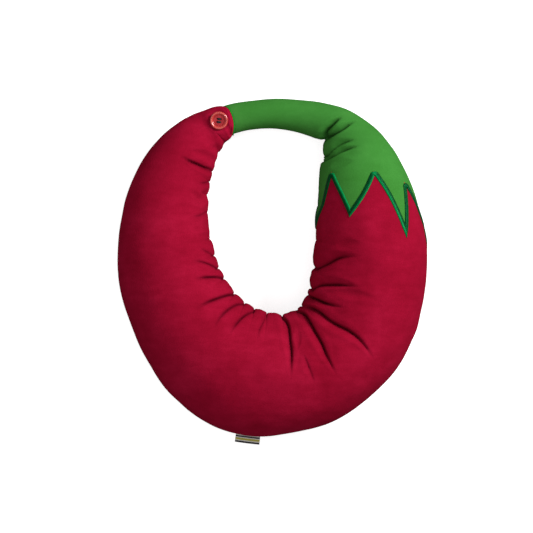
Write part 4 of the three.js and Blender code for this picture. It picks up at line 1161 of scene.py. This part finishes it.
FT = FT + FN * fh[..., None] + fs_ * np.minimum(1, U / 0.12)[:, None, None]
nr, nc = FT.shape[:2]
vid = np.arange(nr * nc).reshape(nr, nc)
ft = [(vid[i, j], vid[i, j + 1], vid[i + 1, j + 1], vid[i + 1, j]) for i in range(nr - 1) for j in range(nc - 1)]
off = nr * nc
bid = vid + off
bid[-1] = vid[-1]          # the two plies meet along the free end
fb = [(bid[i, j], bid[i + 1, j], bid[i + 1, j + 1], bid[i, j + 1]) for i in range(nr - 1) for j in range(nc - 1)]
side = [(vid[i, 0], vid[i + 1, 0], bid[i + 1, 0], bid[i, 0]) for i in range(nr - 2)] + [(vid[nr - 2, 0], vid[nr - 1, 0], bid[nr - 2, 0])]
side += [(vid[i, -1], bid[i, -1], bid[i + 1, -1], vid[i + 1, -1]) for i in range(nr - 2)] + [(vid[nr - 2, -1], bid[nr - 2, -1], vid[nr - 1, -1])]
rootf = [(vid[0, j], bid[0, j], bid[0, j + 1], vid[0, j + 1]) for j in range(nc - 1)]
allv = np.vstack([FT.reshape(-1, 3), FB.reshape(-1, 3)])
allf = ft + fb + side + rootf
used = np.unique(np.concatenate([np.array(f).ravel() for f in allf]))
remap = -np.ones(len(allv), int)
remap[used] = np.arange(len(used))
flap = new_mesh("tip_flap_cover", allv[used], [tuple(int(remap[i]) for i in f) for f in allf], RED)
flap.data.materials.append(LINING)
mi = np.zeros(len(allf), np.int32)
mi[len(ft):len(ft) + len(fb)] = 1
mi[-len(rootf):] = 1
flap.data.polygons.foreach_set("material_index", mi)
fix_normals(flap)


def boolean(ob, tool, op="DIFFERENCE"):
    md = ob.modifiers.new("cut", "BOOLEAN")
    md.operation, md.object, md.solver = op, tool, "EXACT"
    dg = bpy.context.evaluated_depsgraph_get()
    me = bpy.data.meshes.new_from_object(ob.evaluated_get(dg), preserve_all_data_layers=True, depsgraph=dg)
    ob.modifiers.clear()
    ob.data = me
    bpy.data.objects.remove(tool)


def prism(outline, z0, z1):
    k = len(outline)
    v = [(x, y, z0) for x, y in outline] + [(x, y, z1) for x, y in outline]
    f = [tuple(range(k - 1, -1, -1)), tuple(range(k, 2 * k))] + [(i, (i + 1) % k, (i + 1) % k + k, i + k) for i in range(k)]
    ob = new_mesh("tool", v, f, None, smooth_shade=False)
    fix_normals(ob)
    return ob


ANG = 0.37


def slit(length, width, n=10):
    r, h, p = width / 2, length / 2 - width / 2, []
    for i in range(n + 1):
        p.append((h + r * math.sin(PI * i / n), r * math.cos(PI * i / n)))
    for i in range(n + 1):
        p.append((-h - r * math.sin(PI * i / n), -r * math.cos(PI * i / n)))
    c, s = math.cos(ANG), math.sin(ANG)
    return [(BC[0] + x * c - y * s, BC[1] + x * s + y * c) for x, y in p]


boolean(flap, prism(slit(0.0178, 0.0029), 0.02, 0.06))
auto_sharp(flap, 50)
tag_rest(flap)
rd = mm([(-55.7, 121.3)])[0] - mm([(-83.0, 160.7)])[0]
rd /= np.linalg.norm(rd)
fn2 = np.array([-rd[1], rd[0]])
to_flap = lambda o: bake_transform(o)
to_flap(flap)
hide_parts("flap_front_ply", "flap_padding", "flap_lining")


def flap_top(x, y):
    d = (FT[..., 0] - x) ** 2 + (FT[..., 1] - y) ** 2
    i, j = np.unravel_index(np.argsort(d, axis=None)[:4], d.shape)
    w = 1 / (d[i, j] + 1e-9)
    return float((FT[i, j, 2] * w).sum() / w.sum())


# cord along the free end, and the buttonhole's stitched rim
endrow = FT[-1]
outd = np.gradient(endrow, axis=0)
outd = np.stack([-outd[:, 1], outd[:, 0], np.zeros(nc)], 1)
outd /= np.linalg.norm(outd, axis=1, keepdims=True) + 1e-12
if (outd[nc // 2, :2] @ fn2) < 0:
    outd = -outd
piping = tube("flap_end_cord", (endrow + outd * 0.00045)[1:-1], 0.00078, PIPING, 10, True, 700.0, 3)
to_flap(piping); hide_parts("flap_end_piping")
ring = slit(0.0203, 0.0054, 14)
ring = np.array([(x, y, flap_top(x, y) + 0.0001) for x, y in ring + ring[:2]])
ll = np.concatenate([[0], np.cumsum(np.linalg.norm(np.diff(ring, axis=0), axis=1))])
q = np.linspace(0, ll[-2], 260)
ring = np.stack([np.interp(q, ll, ring[:, k]) for k in range(3)], 1)
rimob = tube("buttonhole_rim", ring, 0.00062 * (1 + 0.10 * np.cos(np.arange(260) * PI)), RED_THREAD, 8, True)
to_flap(rimob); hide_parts("buttonhole_stitching")

# ------------------------------------------------------------------ button
SEG = 96
prof = [(0.0, 0.0), (0.0040, 0.0), (0.0066, 0.00005), (0.0080, 0.0003), (0.0089, 0.0008), (0.00935, 0.0014), (0.0095, 0.0020), (0.0094, 0.0026),
        (0.0091, 0.00305), (0.0087, 0.0033), (0.0083, 0.0034), (0.0079, 0.00335), (0.0075, 0.0032), (0.0071, 0.0029), (0.0067, 0.0025),
        (0.0063, 0.00215), (0.0058, 0.0019), (0.0052, 0.00176), (0.0040, 0.00172), (0.0025, 0.0017), (0.0012, 0.0017), (0.0, 0.0017)]
sc = BR / 0.0095
v, f = [tuple(BC + np.array([0, 0, prof[0][1]]))], []
for r, z in prof[1:-1]:
    for k in range(SEG):
        th = 2 * PI * k / SEG
        v.append((BC[0] + r * sc * math.cos(th), BC[1] + r * sc * math.sin(th), BC[2] + z))
v.append(tuple(BC + np.array([0, 0, prof[-1][1]])))
R_N = len(prof) - 2
f += [(0, 1 + (k + 1) % SEG, 1 + k) for k in range(SEG)]
for i in range(R_N - 1):
    f += [(1 + i * SEG + k, 1 + i * SEG + (k + 1) % SEG, 1 + (i + 1) * SEG + (k + 1) % SEG, 1 + (i + 1) * SEG + k) for k in range(SEG)]
f += [(1 + (R_N - 1) * SEG + k, 1 + (R_N - 1) * SEG + (k + 1) % SEG, len(v) - 1) for k in range(SEG)]
disc = new_mesh("button_four_hole", v, f, RESIN)
fix_normals(disc)
TURN = -0.14


def hole_at(u, w):
    c, s = math.cos(TURN), math.sin(TURN)
    return BC[0] + (u * c - w * s) * 0.0016, BC[1] + (u * s + w * c) * 0.0016


for u_, w_ in ((-1, -1), (1, -1), (-1, 1), (1, 1)):
    hx, hy = hole_at(u_, w_)
    boolean(disc, prism([(hx + 0.00105 * math.cos(2 * PI * k / 28), hy + 0.00105 * math.sin(2 * PI * k / 28)) for k in range(28)], BC[2] - 0.001, BC[2] + 0.004))
auto_sharp(disc, 50)
tag_rest(disc)
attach(disc, "button"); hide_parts("button_disc")


def strands(name, w_, node):
    """A bar of the sewing: five strands side by side over the face, each going down its two holes."""
    parts = []
    for s in range(5):
        a = (s - 2) * 0.00036
        x0, y0 = hole_at(-1, w_); x1, y1 = hole_at(1, w_)
        c, sn_ = math.cos(TURN), math.sin(TURN)
        dx, dy = -sn_ * a, c * a
        lift = 0.00042 - 0.05 * abs(a)
        zt = BC[2] + 0.0017
        path = [(x0 + dx * 0.7, y0 + dy * 0.7, BC[2] + 0.0001), (x0 + dx * 0.8, y0 + dy * 0.8, BC[2] + 0.0010),
                (x0 + dx, y0 + dy, zt + 0.0001), (x0 + dx + (x1 - x0) * 0.12, y0 + dy + (y1 - y0) * 0.12, zt + lift * 0.85),
                ((x0 + x1) / 2 + dx, (y0 + y1) / 2 + dy, zt + lift * 1.15 + 0.00005 * (s % 2)),
                (x1 + dx - (x1 - x0) * 0.12, y1 + dy - (y1 - y0) * 0.12, zt + lift * 0.85), (x1 + dx, y1 + dy, zt + 0.0001),
                (x1 + dx * 0.8, y1 + dy * 0.8, BC[2] + 0.0010), (x1 + dx * 0.7, y1 + dy * 0.7, BC[2] + 0.0001)]
        parts.append(tube(f"{name}_{s}", refine(np.array(path), 6), 0.00023, BLACK_THREAD, 8, True, 2600.0, 2))
    for i, p in enumerate(parts):
        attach(p, "button")
        if i == 0:
            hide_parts(node)


strands("button_thread_upper", 1, "button_stitch_upper")
strands("button_thread_lower", -1, "button_stitch_lower")

# the wrapped shank under the button, and the patch it is anchored to inside the stem
slo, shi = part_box("button_shank")
zz = np.linspace(slo.z + 0.001, shi.z, 90)
rad_ = 0.00118 + 0.0001 * np.cos(zz / 0.0007 * 2 * PI) + 0.0005 * smooth(0.0335, 0.0305, zz)
shank = tube("button_shank_wrap", np.stack([np.full(90, BC[0]), np.full(90, BC[1]), zz], 1), rad_, BLACK_THREAD, 16, True, 1500.0, 5)
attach(shank, "stem"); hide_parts("button_shank")
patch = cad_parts["anchor_patch"]
patch.data.materials.clear()
patch.data.materials.append(TAPE)

# ------------------------------------------------------------------ label: a folded plain tape held in the seam
llo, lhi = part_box("label_tape")
lt = 10.72
o1, o2 = sample(lt - 0.25, 0.0), sample(lt + 0.25, 0.0)
o1, o2 = np.asarray(o1).ravel(), np.asarray(o2).ravel()
ux = (o2 - o1) / np.linalg.norm(o2 - o1)
ux[2] = 0
ux /= np.linalg.norm(ux)
uy = np.array([ux[1], -ux[0], 0.0])
if uy[1] > 0:
    uy = -uy
base_ = np.asarray(sample(lt, 0.0)).ravel()
LW, LD = 0.0258, 0.0094
ns, nw = 44, 40
top_v, lays = [], []
for side_ in (0, 1):  # outer and inner skin of the folded ply
    for i in range(ns + 1):
        s = i / ns * 2 - 1            # -1 lower root, 0 fold, 1 upper root
        a = abs(s)
        y = LD * (1 - a ** 1.0) if a > 0.10 else LD * 0.9 + LD * 0.1 * math.sqrt(max(0, 1 - (a / 0.10) ** 2))
        gap = 0.00042 * min(1, a / 0.10) if a < 0.10 else 0.00042 + 0.00012 * math.sin(PI * (a - 0.1) / 0.9)
        z = math.copysign(gap, s) if s else 0.0
        if side_:
            z *= 0.25
            y -= 0.0003 if a < 0.10 else 0.0
        for j in range(nw + 1):
            w = (j / nw - 0.5)
            curl = 0.0007 * math.sin(PI * (w + 0.5)) * (y / LD) + 0.0006 * (y / LD) ** 2 * (w * 1.4)
            p = base_ + ux * (w * LW) + uy * (y - 0.0012 + 0.0002 * math.cos(3 * w)) + np.array([0, 0, z + curl])
            top_v.append(p)
            lays.append((w * LW, LD - y if side_ == 0 else y, s * 0.001))
lays = np.array(lays)
lays[:, 1] = np.tile(np.repeat(np.abs(np.linspace(-1, 1, ns + 1)) * LD, nw + 1), 2)
g = np.arange((ns + 1) * (nw + 1)).reshape(ns + 1, nw + 1)
o_ = g.size
fc = [(g[i, j], g[i, j + 1], g[i + 1, j + 1], g[i + 1, j]) for i in range(ns) for j in range(nw)]
fc += [(g[i, j] + o_, g[i + 1, j] + o_, g[i + 1, j + 1] + o_, g[i, j + 1] + o_) for i in range(ns) for j in range(nw)]
fc += [(g[i, 0], g[i + 1, 0], g[i + 1, 0] + o_, g[i, 0] + o_) for i in range(ns)] + [(g[i, nw], g[i, nw] + o_, g[i + 1, nw] + o_, g[i + 1, nw]) for i in range(ns)]
fc += [(g[0, j], g[0, j] + o_, g[0, j + 1] + o_, g[0, j + 1]) for j in range(nw)] + [(g[ns, j], g[ns, j + 1], g[ns, j + 1] + o_, g[ns, j] + o_) for j in range(nw)]
label = new_mesh("seam_label", top_v, fc, TAPE)
fix_normals(label)
auto_sharp(label, 50)
tag_rest(label, lays)
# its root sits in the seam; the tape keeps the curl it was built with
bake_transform(label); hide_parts("label_tape")

# ------------------------------------------------------------------ floor, light and camera
fm = Nodes("floor_pale")
fm.set(Base_Color=(0.93, 0.93, 0.93, 1), Roughness=0.95, Specular_IOR_Level=0.0)
dim = fm.add("ShaderNodeBsdfDiffuse", inputs={"Color": (0.16, 0.16, 0.16, 1)})
glow = fm.add("ShaderNodeEmission", inputs={"Color": (1, 1, 1, 1), "Strength": 0.72})
lift = fm.add("ShaderNodeAddShader", inputs={0: fm.bsdf.outputs[0], 1: glow.outputs[0]})
lp = fm.add("ShaderNodeLightPath")
mx = fm.add("ShaderNodeMixShader", inputs={0: lp.outputs["Is Camera Ray"]})
fm.t.links.new(dim.outputs[0], mx.inputs[1])
fm.t.links.new(lift.outputs[0], mx.inputs[2])
fm.t.links.new(mx.outputs[0], fm.out.inputs[0])
floor = new_mesh("floor", [(-6, -6, -0.0003), (6, -6, -0.0003), (6, 6, -0.0003), (-6, 6, -0.0003)], [(0, 1, 2, 3)], fm.mat, smooth_shade=False)

world = bpy.data.worlds.new("studio")
bpy.context.scene.world = world
world.use_nodes = True
bg = world.node_tree.nodes["Background"]
bg.inputs[0].default_value = (1, 1, 1, 1)
bg.inputs[1].default_value = 0.34


def area(name, loc, size, power, aim=(0, 0, 0.03), color=(1, 1, 1)):
    d = bpy.data.lights.new(name, "AREA")
    d.shape, d.size, d.energy, d.color = "DISK", size, power, color
    ob = bpy.data.objects.new(name, d)
    bpy.context.scene.collection.objects.link(ob)
    ob.location = loc
    ob.rotation_mode = "QUATERNION"
    ob.rotation_quaternion = (Vector(loc) - Vector(aim)).to_track_quat("Z", "Y")
    ob.visible_camera = False
    return ob


area("key_soft", (1.58, 1.08, 1.25), 0.9, 51)
area("top_fill", (-0.2, -0.1, 2.0), 1.6, 8)

cam = bpy.data.cameras.new("camera")
cam.lens, cam.sensor_width = 400, 36
camo = bpy.data.objects.new("camera", cam)
bpy.context.scene.collection.objects.link(camo)
CX, CY = PX(266.5, 266.5)
dist = 0.001 * 1.05 * 533 * cam.lens / 36
camo.location = (CX, CY, 0.042 + dist)
camo.rotation_euler = (0, 0, 0)
cam.clip_start, cam.clip_end = 0.1, 20
bpy.context.scene.camera = camo
bpy.context.scene.view_settings.view_transform = "Standard"
